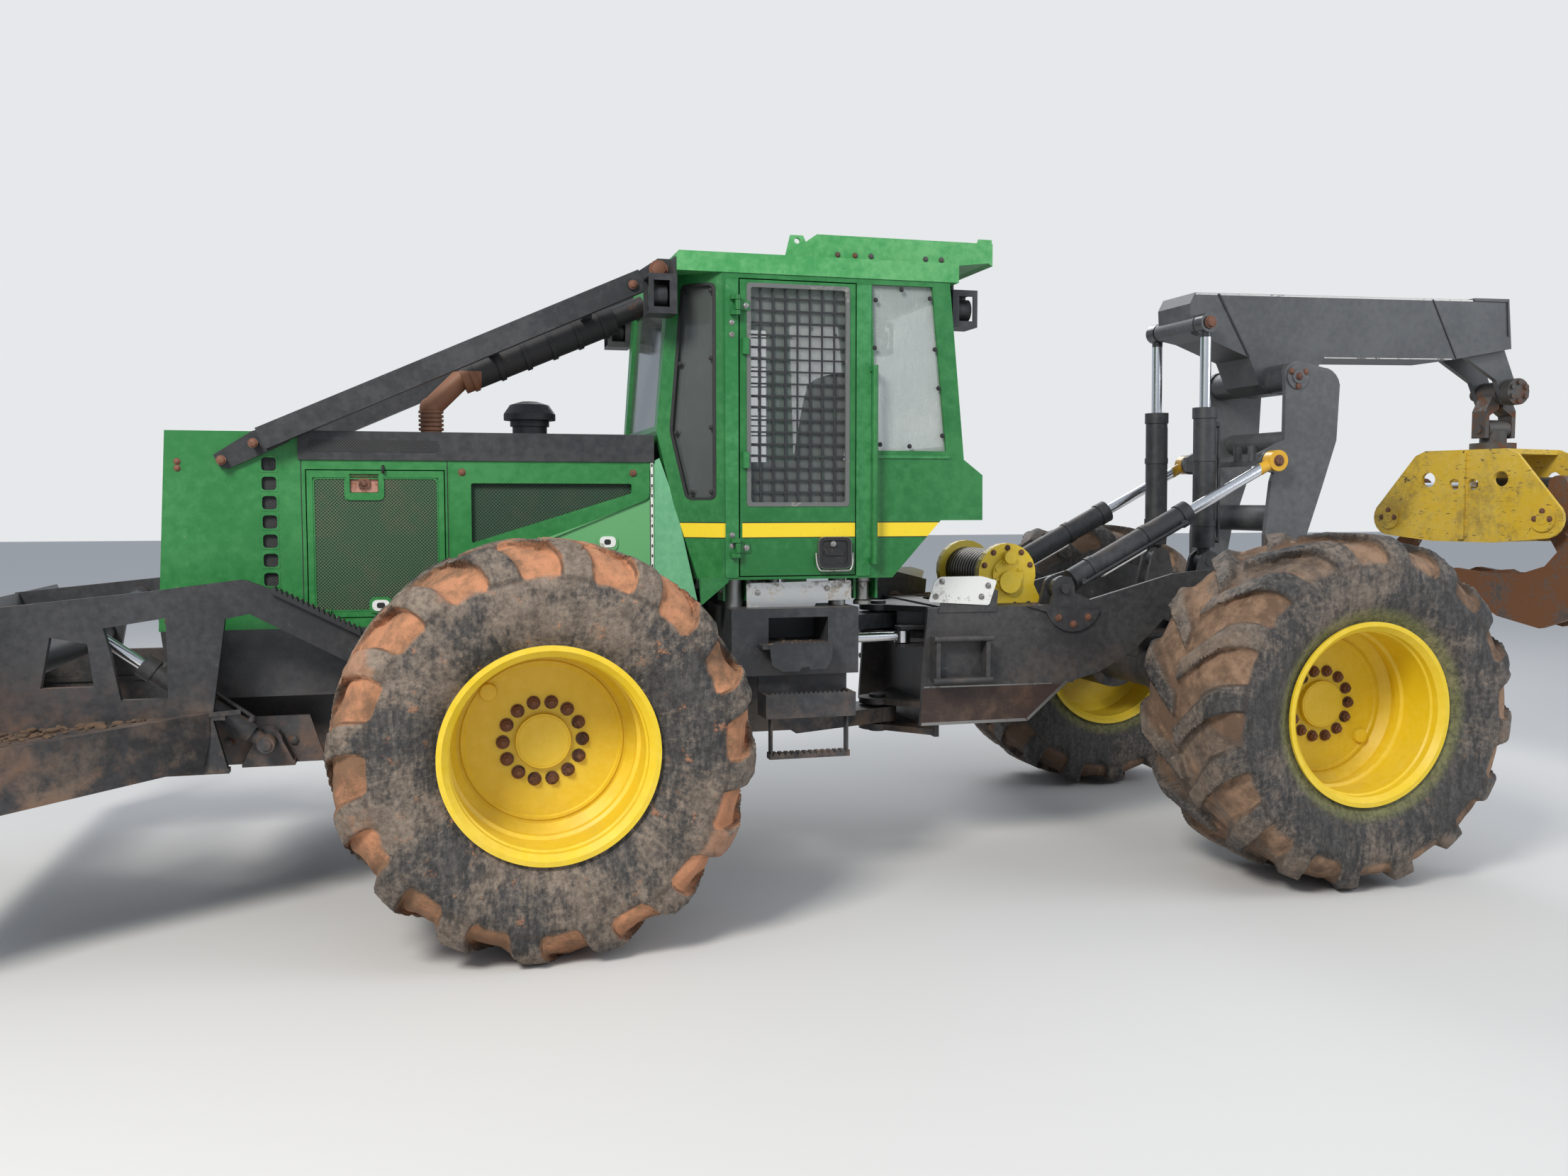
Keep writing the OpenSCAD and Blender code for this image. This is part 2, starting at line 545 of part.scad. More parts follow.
// The front ears lean inwards by a few degrees, towards a sling
module roof_ear() translate([0, cab_half - 63, roof_z0 + roof_t]) rotate([8, 0, 0]) children();
module cab_glass() color(GLASS) intersection() {
    difference() {
        cab_solid(cab_t / 2);
        cab_solid(cab_t / 2 + glass_t);
    }
    union() {
        side_windows(seat_gap);
        end_windows(seat_gap);
    }
}
module cab_interior() color(DARK) {
    z = cab_z0 + cab_t + seat_gap;
    box([330, -200, z], [780, 200, z + 280]);
    box([310, -250, z + 280], [800, 250, z + 400]);
    slab_mid(480) polygon([[310, z + 380], [430, z + 380], [330, z + 960], [230, z + 960]]);
    both() box([340, 290, z], [860, 420, z + 520]);
    // column and wheel
    strut([1030, z + 12], [960, z + 560], 0, 30);
    box([980, -60, z], [1080, 60, z + 24]);
    translate([955, 0, z + 570]) rotate([0, -20, 0]) rotate_extrude() translate([160, 0]) circle(r = 14, $fn = 16);
    translate([955, 0, z + 570]) rotate([0, -20, 0]) {
        cylinder(r = 36, h = 22, center = true);
        for (a = [0, 120, 240]) rotate(a) box([30, -10, -6], [152, 10, 6]);
    }
}
module work_lamps() color(BLACK) {
    both() {
        lamp_guard(roof_x1 + seat_gap, 1, 683);
        lamp_guard(roof_x0 - seat_gap, -1, 600);
    }
}
// An open cage round a lamp, held to the roof's front or rear edge
module lamp_guard(x, s, y) translate([x, y, 0]) mirror([s < 0 ? 1 : 0, 0, 0]) {
    difference() {
        box([0, -80, 2710], [130, 80, 2890]);
        box([12, -68, 2722], [131, 68, 2878]);
        box([34, -81, 2740], [108, 81, 2860]);
    }
    box([0, -60, 2880], [12, 60, roof_z0 + 60]);
    rod_x([70, 0, 2800], 54, 60);
    rod_x([20, 0, 2800], 22, 60);
}

// A cab door: frame with a window, and a guard of crossed bars over the window
door_hinge = [960, 775];
door_hinge_zs = [1640, 2760];
door_glass = [[420, 1843], [903, 1843], [903, 2858], [420, 2858]];
module cab_door() {
    y0 = cab_half - cab_t;
    color(GREEN) difference() {
        box([cab_door_x0 + door_gap, y0, cab_door_z0 + door_gap], [cab_door_x1 - door_gap, cab_half, cab_door_z1 - door_gap]);
        slab_y(y0 - 1, cab_t + 2) polygon(door_glass);
    }
    color(GREEN) for (z = door_hinge_zs) difference() {
        union() {
            translate([door_hinge.x, door_hinge.y, z - 22]) cylinder(r = 14, h = 44);
            box([door_hinge.x - 60, cab_half - 1, z - 22], [cab_door_x1 - door_gap, cab_half + 8, z + 22]);
            box([door_hinge.x - 60, cab_half + 1, z - 22], [door_hinge.x - 10, cab_half + 8, z + 22]);
            box([door_hinge.x - 22, cab_half + 1, z - 22], [door_hinge.x - 6, door_hinge.y, z + 22]);
        }
        translate([door_hinge.x, door_hinge.y, z - 23]) cylinder(r = 6 + run_gap, h = 46);
    }
    color(BLACK) {
        // latch
        box([cab_door_x0 + 40, cab_half - 1, 1596], [cab_door_x0 + 96, cab_half + 16, 1680]);
        a = door_glass[0];
        b = door_glass[2];
        n = [round((b.x - a.x) / guard_pitch), round((b.y - a.y) / guard_pitch)];
        for (i = [1:n.x - 1]) box([a.x + i * (b.x - a.x) / n.x - 4, y0 + 14, a.y - 1],
            [a.x + i * (b.x - a.x) / n.x + 4, y0 + 22, b.y + 1]);
        for (i = [1:n.y - 1]) box([a.x - 1, y0 + 14, a.y + i * (b.y - a.y) / n.y - 4],
            [b.x + 1, y0 + 22, a.y + i * (b.y - a.y) / n.y + 4]);
    }
}
engine_hinge_xs = [2345, 2805];
engine_hinge_y = skirt_half + 12.5;
module engine_door() color(GREEN) {
    g = 5;
    for (x = engine_hinge_xs) difference() {
        union() {
            rod_x([x, engine_hinge_y, door_z0], 11, 50);
            box([x - 25, skirt_half - 6, door_z0 + g], [x + 25, engine_hinge_y + 4, door_z0 + 40]);
        }
        rod_x([x, engine_hinge_y, door_z0], 5 + run_gap, 52);
    }
    difference() {
        slab_y(skirt_half - hood_t + 3, hood_t - 3) polygon([[door_x0 + g, door_z0 + g], [door_x1 - g, door_z0 + g],
            [door_x1 - g, door_z1 - g], [door_x0 + g, door_z1 - g]]);
        slab_y(skirt_half - 8, 20) polygon([[door_x0 + 30, door_z0 + 30], [door_x1 - 30, door_z0 + 30],
            [door_x1 - 30, door_z1 - 36], [door_x0 + 30, door_z1 - 36]]);
        box([2565, skirt_half - 15, door_z1 - 105], [2690, skirt_half + 1, door_z1 - 20]);
    }
    box([2605, skirt_half - 16, door_z1 - 82], [2650, skirt_half - 3, door_z1 - 42]);
}

// Front blade with its push arms, braces and wear edge
module blade() color(BLACK) {
    // bowed plate: two arcs round one centre, and a wear edge bolted along its foot
    r = 1000;
    half_a = asin(blade_h / 2 / r);
    cx = blade_x + 1000 * cos(half_a) - 10;
    cz = 500 + blade_h / 2;
    slab_mid(blade_w) polygon(concat(arc(cx, cz, r, 180 + half_a, 180 - half_a, 12),
        arc(cx, cz, r + blade_t, 180 - half_a, 180 + half_a, 12)));
    slab_mid(blade_w) polygon([[blade_x - 62, 560], [blade_x - 40, 430], [blade_x - 6, 430], [blade_x - 12, 515],
        [blade_x - 30, 560]]);
    difference() {
        blade_carrier();
        rod_y([cx, cz], 0, r + 12, blade_w + 2);
    }
}
module blade_carrier() {
    out = arm_y + arm_t / 2;
    both() {
        push_arm();
        // wedge from the arm out to the blade's end: side plate and top ledge
        intersection() {
            linear_extrude(2000) polygon([[3240, out - 20], [3290, out - 20], [blade_x, blade_w / 2 - 35],
                [blade_x, blade_w / 2 - 10], [3262, out + 5]]);
            slab_y(out - 30, blade_w / 2) polygon(wedge_side);
        }
        intersection() {
            linear_extrude(2000) polygon([[3138, out - 1], [3262, out + 5], [blade_x, blade_w / 2 - 10],
                [blade_x, out - 1]]);
            slab_y(out - 30, blade_w / 2) polygon([[3138, 954], [3138, 974], [blade_x, 880], [blade_x, 858]]);
        }
        // ribs behind the plate
        for (y = [arm_y + 280, blade_w / 2 - 30]) slab_y(y, 22)
            polygon([[4200, 865], [4220, 1200], [blade_x, 1300], [blade_x, 560], [4240, 640]]);
        box([3190, arm_y - arm_t / 2 - 16, 700], [blade_x, out, 720]);
        box([3200, arm_y - arm_t / 2 - 16, 930], [blade_x, out, 950]);
    }
    box([4240, -arm_y, 640], [blade_x, arm_y, 660]);
    // cross tube behind the blade
    rod_y([3990, 1180], 0, 70, 2 * arm_y);
}
wedge_side = [[3242, 949], [3286, 734], [4500, 600], [4500, 874]];
module push_arm() {
    front = blade_x;
    difference() {
        slab_y(arm_y - arm_t / 2, arm_t) polygon(concat(
            arc(blade_pivot.x, blade_pivot.y, 110, 140, 290, 10),
            [[2676, 1150], [3093, 1380], [3190, 1360], [3250, 940], [3190, 700], [front, 700], [front, 1392],
            [3473, 1483]], arc(3125, 1440, 85, 80, 118, 4), [[3002, 1482], [2642, 1290]]));
        rod_y(blade_pivot, arm_y, 45 + run_gap, arm_t + 2);
        slab_y(arm_y - arm_t / 2 - 1, arm_t + 2) polygon([[3420, 1370], [3660, 1333], [3640, 1250], [3600, 1030],
            [3420, 1030]]);
        slab_y(arm_y - arm_t / 2 - 1, arm_t + 2) polygon([[3720, 1270], [3860, 1300], [3900, 1090], [3700, 1090]]);
    }
    // rail along the arm's top, with a toothed tread behind its peak
    for (i = [0:tread_teeth - 1]) {
        t = i / tread_teeth;
        translate([3002 - 360 * t, 0, 1482 - 192 * t]) slab_y(arm_y - 45, 90)
            polygon([[0, -14], [0, 2], [-8, 12], [-14, 12], [-21, -4], [-21, -26]]);
    }
    // lugs for the cylinder's rod
    slab_y(blade_cyl_y + 43, arm_y - arm_t / 2 - blade_cyl_y - 42) polygon(arc(blade_cyl_eye.x, blade_cyl_eye.y - 6,
        62, 0, 345, 23));
}
module blade_barrels() color(BLACK) both()
    on_line(blade_cyl_base, blade_cyl_eye, blade_cyl_y) barrel(45, 610, 40, 70, 22, 25, 76);
module blade_rods() color(STEEL) both()
    on_line(blade_cyl_base, blade_cyl_eye, blade_cyl_y) rod(dist(blade_cyl_base, blade_cyl_eye), 375, 25, 40, 70);

// Steering cylinders lie flat, one each side of the hinge
module steer_place(side) translate([steer_base.x, side * steer_base.y, steer_z])
    rotate(side * elevation(steer_base, steer_eye)) rotate([90, 0, 0]) children();
module steering_barrels() color(BLACK) for (side = [-1, 1]) steer_place(side) barrel(45, 620, 34, 70, 18, 24, 66);
module steering_rod(side) color(STEEL) steer_place(side) rod(dist(steer_base, steer_eye), 332, 24, 42, 60);

// Rear frame: side plates, hinge forks, decks, lugs for the cylinders and the arch
module rear_frame() {
    color(BLACK) {
        both() {
            slab_y(rear_half - rear_t, rear_t) rear_side();
            // inner lug of the arch cylinder
            slab_y(arch_cyl_y - 60, 25) polygon(concat([[-960, rear_deck - 60], [-750, rear_deck - 60]],
                arc(arch_cyl_base.x, arch_cyl_base.y, 66, 0, 180, 10)));
            rod_y(arch_cyl_base, arch_cyl_y, 24, 170);
            // lugs of the boom cylinder
            for (y = [boom_cyl_y - 62, boom_cyl_y + 40]) slab_y(y, 22)
                polygon(concat([[-1960, 1300], [-1730, 1300]], arc(boom_cyl_base.x, boom_cyl_base.y, 62, 0, 180, 10)));
            rod_y(boom_cyl_base, boom_cyl_y, 24, 130);
            // arch pivot
            slab_y(295, 35) polygon(concat([[-2330, 1100], [-2130, 1100]], arc(arch_pivot.x, arch_pivot.y, 90, 0, 180, 10)));
            rod_y(arch_pivot, 390, 40, 200);
            rod_y(arch_pivot, (arch_half + swing_gap + rear_half - rear_t) / 2, 80,
                rear_half - rear_t - arch_half - swing_gap + 2);
            // rubbing box on the side plate
            difference() {
                box([-402, rear_half - 1, 941], [-108, rear_half + 90, 1171]);
                box([-380, rear_half + 20, 960], [-130, rear_half + 91, 1150]);
            }
            // lug plate round the arch cylinder's foot
            slab_y(rear_half - 1, 16) polygon(concat([[-640, rear_deck]], arc(-905, 1340, 165, 200, 340, 10)));
        }
        box([-1040, -rear_half + 1, rear_deck - 25], [-200, rear_half - 1, rear_deck]);
        box([-225, -rear_half + 1, 711], [-200, rear_half - 1, rear_deck]);
        box([-650, -rear_half + 1, 711], [-200, rear_half - 1, 731]);
        box([-920, -rear_half + 1, 905], [-895, rear_half - 1, rear_deck]);
        box([-1990, -rear_half + 1, 1275], [-1700, rear_half - 1, 1300]);
        both() box([-2150, 200, rear_low], [-1700, rear_half - 1, rear_low + 24]);
        box([-2340, -rear_half + 1, 1078], [-2120, rear_half - 1, 1102]);
        // forks of the steering hinge, above and below each tongue
        for (z = [[625, 657], [763, 795], [1135, 1167], [1273, 1305]]) translate([0, 0, z.x]) difference() {
            union() {
                linear_extrude(z.y - z.x) polygon([[0, 100], [-210, 330], [-210, -330], [0, -100]]);
                cylinder(r = 100, h = z.y - z.x);
            }
        }
        for (z = [[610, 810], [1120, 1320]]) translate([0, 0, z.x]) cylinder(r = hinge_pin_r, h = z.y - z.x);
        box([-225, -340, 620], [-200, 340, 730]);
        // clevis plates for the steering rods
        both() for (z = [steer_z - 55, steer_z + 38]) translate([0, 0, z]) linear_extrude(17)
            polygon(concat([[-210, 290], [-20, 290]], arc(steer_eye.x, steer_eye.y, 40, -90, 90, 6), [[-210, 370]]));
    }
    color(STEEL) both() slab_y(rear_half - 1, 7) polygon([[-150, 1290], [-470, 1290], [-480, 1400], [-200, 1470]]);
}
module rear_side() polygon(concat(
    [[-57, 711], [-95, rear_deck], [-780, rear_deck]],
    arc(arch_cyl_base.x, arch_cyl_base.y, 66, 330, 360 + 200, 10),
    [[-1010, 1340], [-1500, 1470], [-1740, 1490], [-1960, 1440]],
    arc(arch_pivot.x, arch_pivot.y, 155, 80, 250, 8),
    [[-2150, rear_low], [-1700, rear_low], [-1560, 1180], [-1451, 1230], [-1290, 1080], [-1080, 960], [-885, 905], [-657, 711]]));

module winch() color(YELLOW) {
    c = [-625, 1470];
    for (y = [-300, 250]) slab_y(y, 50) polygon(concat([[-420, rear_deck + seat_gap]], arc(c.x, c.y, 165, -20, 200, 14),
        [[-830, rear_deck + seat_gap]]));
    rod_y(c, 0, 120, 560);
    rod_y([c.x, c.y + 90], 320, 34, 50);
    // rope wound on the drum, and the gear case's cover with its bolts
    for (i = [-6:6]) rod_y(c, -25 + i * 36, 128, 22);
    rod_y(c, 306, 88, 14);
    for (p = arc(c.x, c.y, 70, 22.5, 337.5, 7)) rod_y(p, 314, 10, 14);
    rod_y([c.x - 4, c.y - 40], 315, 60, 40);
    box([-840, -300, rear_deck + seat_gap], [-420, 300, rear_deck + 22]);
}

// Arch, a pair of bent plates tied by tubes
module arch() color(DARK) {
    outline = concat(arc(arch_pivot.x, arch_pivot.y, 100, 180, 330, 8),
        [[-2150, 1670], [-2185, 1970], [-2262, 2200], [-2262, 2480]], arc(boom_pivot.x, boom_pivot.y, 88, 20, 110, 5),
        arc(-2500, 2490, 115, 90, 170, 5), [[-2600, 2200], [-2515, 1940], [-2425, 1680]]);
    difference() {
        both() slab_y(arch_half - arch_t, arch_t) polygon(outline);
        rod_y(arch_pivot, 0, 40 + run_gap, 2 * arch_half + 2);
    }
    // ties
    rod_y([-2300, 1760], 0, 75, 2 * arch_half - arch_t);
    rod_y([-2430, 2200], 0, 60, 2 * arch_half - arch_t);
    // bosses of the cylinder eyes and the boom's pivot pin
    both() rod_y(arch_cyl_eye, (arch_half - 10 + arch_cyl_y - 41) / 2, 60, arch_cyl_y - 41 - arch_half + 10);
    both() slab_y(arch_half - arch_t, arch_t) polygon([[-2262, 2000], [-2100, 2040], [-2100, 2120], [-2262, 2200]]);
    rod_y(boom_pivot, 0, 38, 2 * arch_half + 30);
    both() rod_y(boom_pivot, arch_half + 4, 68, 10);
    // fairlead with upright rollers
    box([-2290, -arch_half + 5, 2060], [-2250, arch_half - 5, 2090]);
    for (y = [-70, 70]) translate([-2270, y, 2088]) cylinder(r = 26, h = 90);
}
module arch_barrels() color(BLACK) both() on_line(arch_cyl_base, arch_cyl_eye, arch_cyl_y) {
    barrel(arch_cyl_r, 860, 52, 60, 24, 30, 82);
    bands(arch_cyl_r);
}
// Clamp bands of the hose pipes round a barrel
module bands(r) for (x = [200, 560]) difference() {
    translate([x, 0, 0]) rotate([0, 90, 0]) cylinder(r = r + 5, h = 32);
    translate([x - 1, 0, 0]) rotate([0, 90, 0]) cylinder(r = r - 4, h = 34);
}
module arch_rods() both() on_line(arch_cyl_base, arch_cyl_eye, arch_cyl_y) {
    color(STEEL) rod(dist(arch_cyl_base, arch_cyl_eye), 520, 30, 10, 40);
    color(YELLOW) translate([dist(arch_cyl_base, arch_cyl_eye), 0, 0]) {
        rotate([90, 0, 0]) cylinder(r = 58, h = 66, center = true);
        translate([-110, 0, 0]) rotate([0, 90, 0]) cylinder(r = 31.5, h = 90);
    }
}

module boom() color(DARK) difference() {
    union() {
        slab_mid(2 * boom_half) polygon([[-1812, 3023], [-3958, 3062], [-3985, 2775], [-3552, 2697], [-2660, 2680],
            [-2560, 2540], [-2440, 2470], [-2300, 2470], [-2240, 2520], [-2171, 2670], [-1900, 2770], [-1790, 2790],
            [-1780, 2960]]);
        rod_y(boom_pivot, 0, 80, 2 * (arch_half - arch_t - swing_gap));
        // bosses for the cylinder eyes
        rod_y(boom_cyl_eye, 0, 55, 2 * (boom_cyl_y - 45 - swing_gap));
        // ears for the hanging crosshead
        both() slab_y(80, 35) polygon(concat([[-3700, 2722], [-3930, 2590]], arc(hang.x, hang.y, 75, -60, -240, 10),
            [[-3975, 2790], [-3700, 2790]]));
        // cap plate over the tip, and stiffeners under the root
        slab_mid(2 * boom_half + 16) polygon([[-3966, 2850], [-3950, 3070], [-3700, 3066], [-3700, 3050],
            [-3940, 3052], [-3954, 2850]]);
    }
    rod_y(boom_pivot, 0, 38 + run_gap, 2 * arch_half + 40);
    rod_y(hang, 0, 35 + run_gap, 300);
}
module boom_barrels() color(BLACK) both() on_line(boom_cyl_base, boom_cyl_eye, boom_cyl_y) {
    barrel(boom_cyl_r, 857, 48, 76, 24, 30, 80);
    bands(boom_cyl_r);
}
module boom_rods() color(STEEL) both()
    on_line(boom_cyl_base, boom_cyl_eye, boom_cyl_y) rod(dist(boom_cyl_base, boom_cyl_eye), 420, 30, 55, 76);

// Crosshead: swings fore and aft on the boom's ears, and carries the rotator on a cross pin
module crosshead() color(BLACK) {
    rod_y(hang, 0, 35, 330);
    rod_y(hang, 0, 70, 2 * 80 - 2 * 6);
    rod_y(hang, 155, 80, 60);
    for (p = arc(hang.x, hang.y, 56, 30, 330, 5)) translate([p.x, 192, p.y]) rotate([90, 0, 0])
        cylinder(r = 16, h = 16, center = true, $fn = 6);
    for (s = [-1, 1]) slab_mid(110) polygon([[hang.x + s * 15, hang.y - 20], [hang.x + s * 66, hang.y - 20],
        [hang.x + s * 112, side_pin_z + 110], [hang.x + s * 112, side_pin_z - 55], [hang.x + s * 84, side_pin_z - 55],
        [hang.x + s * 84, side_pin_z + 80], [hang.x + s * 15, side_pin_z + 125]]);
    rod_x([hang.x, 0, side_pin_z], 28, 240);
}
module rotator() color(BLACK) difference() {
    union() {
        rod_x([hang.x, 0, side_pin_z], 58, 2 * (84 - 6));
        translate([hang.x, 0, head_top + 30]) cylinder(r = 76, h = side_pin_z - head_top - 40);
        translate([hang.x, 0, head_top + seat_gap]) cylinder(r = 130, h = 44);
    }
    rod_x([hang.x, 0, side_pin_z], 28 + run_gap, 240);
}
// The head and tongs are drawn with their long axis on Y, then turned about the rotator
module at_head() translate([hang.x, 0, 0]) rotate(head_yaw) children();
// Extrudes a Y-Z outline along X from x to x + t
module slab_x(x, t) translate([x, 0, 0]) rotate([90, 0, 90]) linear_extrude(t) children();
module grapple_head() color(YELLOW) at_head() {
    half = tong_span / 2;
    cheek = concat([[-260, head_top], [-330, head_top - 30]], arc(-half, tong_pin_z, 115, 130, 270, 8),
        [[-200, tong_pin_z - 145], [200, tong_pin_z - 145]], arc(half, tong_pin_z, 115, -90, 50, 8),
        [[330, head_top - 30], [260, head_top]]);
    for (s = [0, 1]) mirror([s, 0, 0]) {
        slab_x(head_depth / 2 - cheek_t, cheek_t) difference() {
            polygon(cheek);
            for (y = [-1, 1]) translate([y * 235, 1990]) circle(r = 46);
            translate([-60, 1960]) circle(r = 34);
            translate([60, 1960]) circle(r = 34);
        }
        // caps over the ends of the tongs' pins
        for (y = [-1, 1]) rod_x([head_depth / 2 + 8, y * half, tong_pin_z], 74, 17);
        // stiffener and pin caps on the cheek
        box([head_depth / 2 - 1, -20, tong_pin_z - 130], [head_depth / 2 + 20, 20, head_top - 20]);
    }
    box([-head_depth / 2 + 1, -260, head_top - 30], [head_depth / 2 - 1, 260, head_top]);
    for (s = [-1, 1]) rod_x([0, s * half, tong_pin_z], 34, head_depth + 40);
    box([-head_depth / 2 + 1, -150, tong_pin_z - 145], [head_depth / 2 - 1, 150, tong_pin_z - 120]);
}
// One tong: ear above its pin, hooked arm below; lies towards +Y
module tong_shape() difference() {
    half = tong_span / 2;
    union() {
        polygon(concat(arc(half, ear_z, 58, -10, 190, 8), arc(half, tong_pin_z, 95, 170, 230, 3),
            [[half + 10, 1560], [half - 60, 1475], [half - 200, 1425], [half - 420, 1415], [half - 640, 1440],
            [half - 690, 1420], [half - 560, 1290], [half - 340, 1160], [half - 80, 1105], [half + 110, 1180],
            [half + 170, 1360], [half + 160, 1560]], arc(half, tong_pin_z, 95, -60, 10, 4)));
    }
    translate([half, tong_pin_z]) circle(r = 34 + run_gap);
}
module tong_left() color(RUST) at_head() {
    for (x = [-90 - tong_t, 90]) slab_x(x, tong_t) tong_shape();
    tong_bosses(90 + tong_t);
    // pin of the cylinder and spacer tubes between the two arms
    rod_x([0, tong_span / 2, ear_z], 22, 2 * (90 + tong_t));
    for (p = [[330, 1280], [570, 1400]]) rod_x([0, p.x, p.y], 32, 2 * (90 + tong_t) - 20);
}
// The other tong has one thick arm, and a pair of ears for the cylinder's rod
module tong_right() color(RUST) at_head() mirror([0, 1, 0]) {
    difference() {
        slab_x(-40, 80) tong_shape();
        box([-41, tong_span / 2 - 100, tong_pin_z + 105], [41, tong_span / 2 + 100, ear_z + 60]);
    }
    tong_bosses(66);
    for (x = [-66, 41]) slab_x(x, 25) difference() {
        polygon(concat(arc(tong_span / 2, ear_z, 58, -10, 190, 8), arc(tong_span / 2, tong_pin_z, 95, 170, 370, 10)));
        translate([tong_span / 2, tong_pin_z]) circle(r = 34 + run_gap);
    }
    for (x = [-42, 38]) slab_x(x, 4) difference() {
        translate([tong_span / 2, tong_pin_z]) circle(r = 90);
        translate([tong_span / 2, tong_pin_z]) circle(r = 34 + run_gap);
    }
}
// Tubes on the tong's pin that keep it in the middle of the head
module tong_bosses(x0) {
    w = head_depth / 2 - cheek_t - swing_gap - x0 + 1;
    for (s = [-1, 1]) difference() {
        rod_x([s * (x0 - 1 + w / 2), tong_span / 2, tong_pin_z], 64, w);
        rod_x([s * (x0 - 1 + w / 2), tong_span / 2, tong_pin_z], 34 + run_gap, w + 2);
    }
}
module grapple_line() at_head() translate([0, tong_span / 2, ear_z]) rotate([0, 0, -90]) children();
module grapple_barrel() color(BLACK) grapple_line() barrel(50, 560, 42, 170, 22, 27, 70);
module grapple_rod() color(STEEL) grapple_line() rod(tong_span, 400, 27, 40, 66);

front_frame();
front_axle();
engine();
hood();
hood_top();
hood_screens();
limb_risers();
exhaust();
cab();
cab_roof();
cab_glass();
cab_interior();
work_lamps();
cab_door();  // cab_door_left
mirror([0, 1, 0]) cab_door();  // cab_door_right
engine_door();  // engine_door_left
mirror([0, 1, 0]) engine_door();  // engine_door_right
place_wheel(axle_x, 1) tyre(1);  // front_left_tyre
place_wheel(axle_x, 1) rim();  // front_left_rim
place_wheel(axle_x, -1) tyre(-1);  // front_right_tyre
place_wheel(axle_x, -1) rim();  // front_right_rim
place_wheel(-axle_x, 1) tyre(1);  // rear_left_tyre
place_wheel(-axle_x, 1) rim();  // rear_left_rim
place_wheel(-axle_x, -1) tyre(-1);  // rear_right_tyre
place_wheel(-axle_x, -1) rim();  // rear_right_rim
blade();
blade_barrels();
blade_rods();
steering_barrels();
steering_rod(1);  // steering_rod_left
steering_rod(-1);  // steering_rod_right
rear_frame();
rear_axle();
winch();
arch();
arch_barrels();
arch_rods();
boom();
boom_barrels();
boom_rods();
crosshead();
rotator();
grapple_head();
tong_left();
tong_right();
grapple_barrel();
grapple_rod();
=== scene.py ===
"""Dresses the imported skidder: its finishes, lugged tyres, screens, bolts and pipes, and the studio round it."""

import functools
import json
import logging
import math
from collections.abc import Iterable, Sequence
from dataclasses import dataclass, replace
from enum import Enum

import bpy
import numpy as np
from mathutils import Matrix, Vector

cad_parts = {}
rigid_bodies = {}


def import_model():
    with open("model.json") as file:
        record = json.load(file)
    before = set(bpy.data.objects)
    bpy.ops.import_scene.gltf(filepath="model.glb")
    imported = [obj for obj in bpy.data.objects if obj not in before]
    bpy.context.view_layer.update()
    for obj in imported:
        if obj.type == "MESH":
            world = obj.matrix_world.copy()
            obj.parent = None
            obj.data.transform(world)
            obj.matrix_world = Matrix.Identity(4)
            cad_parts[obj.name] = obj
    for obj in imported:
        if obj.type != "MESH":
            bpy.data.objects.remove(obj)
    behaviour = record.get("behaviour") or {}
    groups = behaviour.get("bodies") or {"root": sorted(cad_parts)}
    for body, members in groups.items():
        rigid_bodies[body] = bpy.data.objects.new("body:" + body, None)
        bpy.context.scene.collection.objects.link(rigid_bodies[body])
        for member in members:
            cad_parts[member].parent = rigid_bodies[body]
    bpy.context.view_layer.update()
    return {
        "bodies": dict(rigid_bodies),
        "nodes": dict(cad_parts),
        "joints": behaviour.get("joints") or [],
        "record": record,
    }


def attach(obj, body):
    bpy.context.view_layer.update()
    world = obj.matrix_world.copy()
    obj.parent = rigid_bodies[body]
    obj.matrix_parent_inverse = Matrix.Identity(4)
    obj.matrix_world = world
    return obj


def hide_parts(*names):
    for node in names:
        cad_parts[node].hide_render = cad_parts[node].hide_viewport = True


log = logging.getLogger("skidder")

Array = np.ndarray
Colour = tuple[float, float, float]
Point = tuple[float, float, float]
Spot = tuple[float, float]
Outline = Sequence[Spot] | Array
Form = tuple[Array, list[list[int]]]

RANDOM_SEED = 20417
UP_Y: Point = (0.0, 1.0, 0.0)
MIRROR = np.array([1.0, -1.0, 1.0])
AXLE_X = 1.905
WHEEL_RADIUS = 0.855
# where the cab's slanted front quarter starts along X, and how Y changes with X on it
SLANT_X, SLANT = 1.030, -0.821


class Body(Enum):
    """Bodies of the frame that pieces ride on."""

    CHASSIS = "chassis"
    REAR = "rear_body"
    BLADE = "blade_body"
    ARCH = "arch_body"
    BOOM = "boom_body"
    HEAD = "head_body"
    DOOR_LEFT = "cab_door_left_body"
    DOOR_RIGHT = "cab_door_right_body"
    ENGINE_DOOR_LEFT = "engine_door_left_body"
    ENGINE_DOOR_RIGHT = "engine_door_right_body"
    ARCH_BARREL = "arch_barrel_body"
    ARCH_ROD = "arch_rod_body"
    BOOM_BARREL = "boom_barrel_body"
    BOOM_ROD = "boom_rod_body"
    BLADE_BARREL = "blade_barrel_body"


class Side(Enum):
    """The machine's two sides, as the sign of Y."""

    LEFT = 1
    RIGHT = -1


# ---- shader expressions ------------------------------------------------------------------


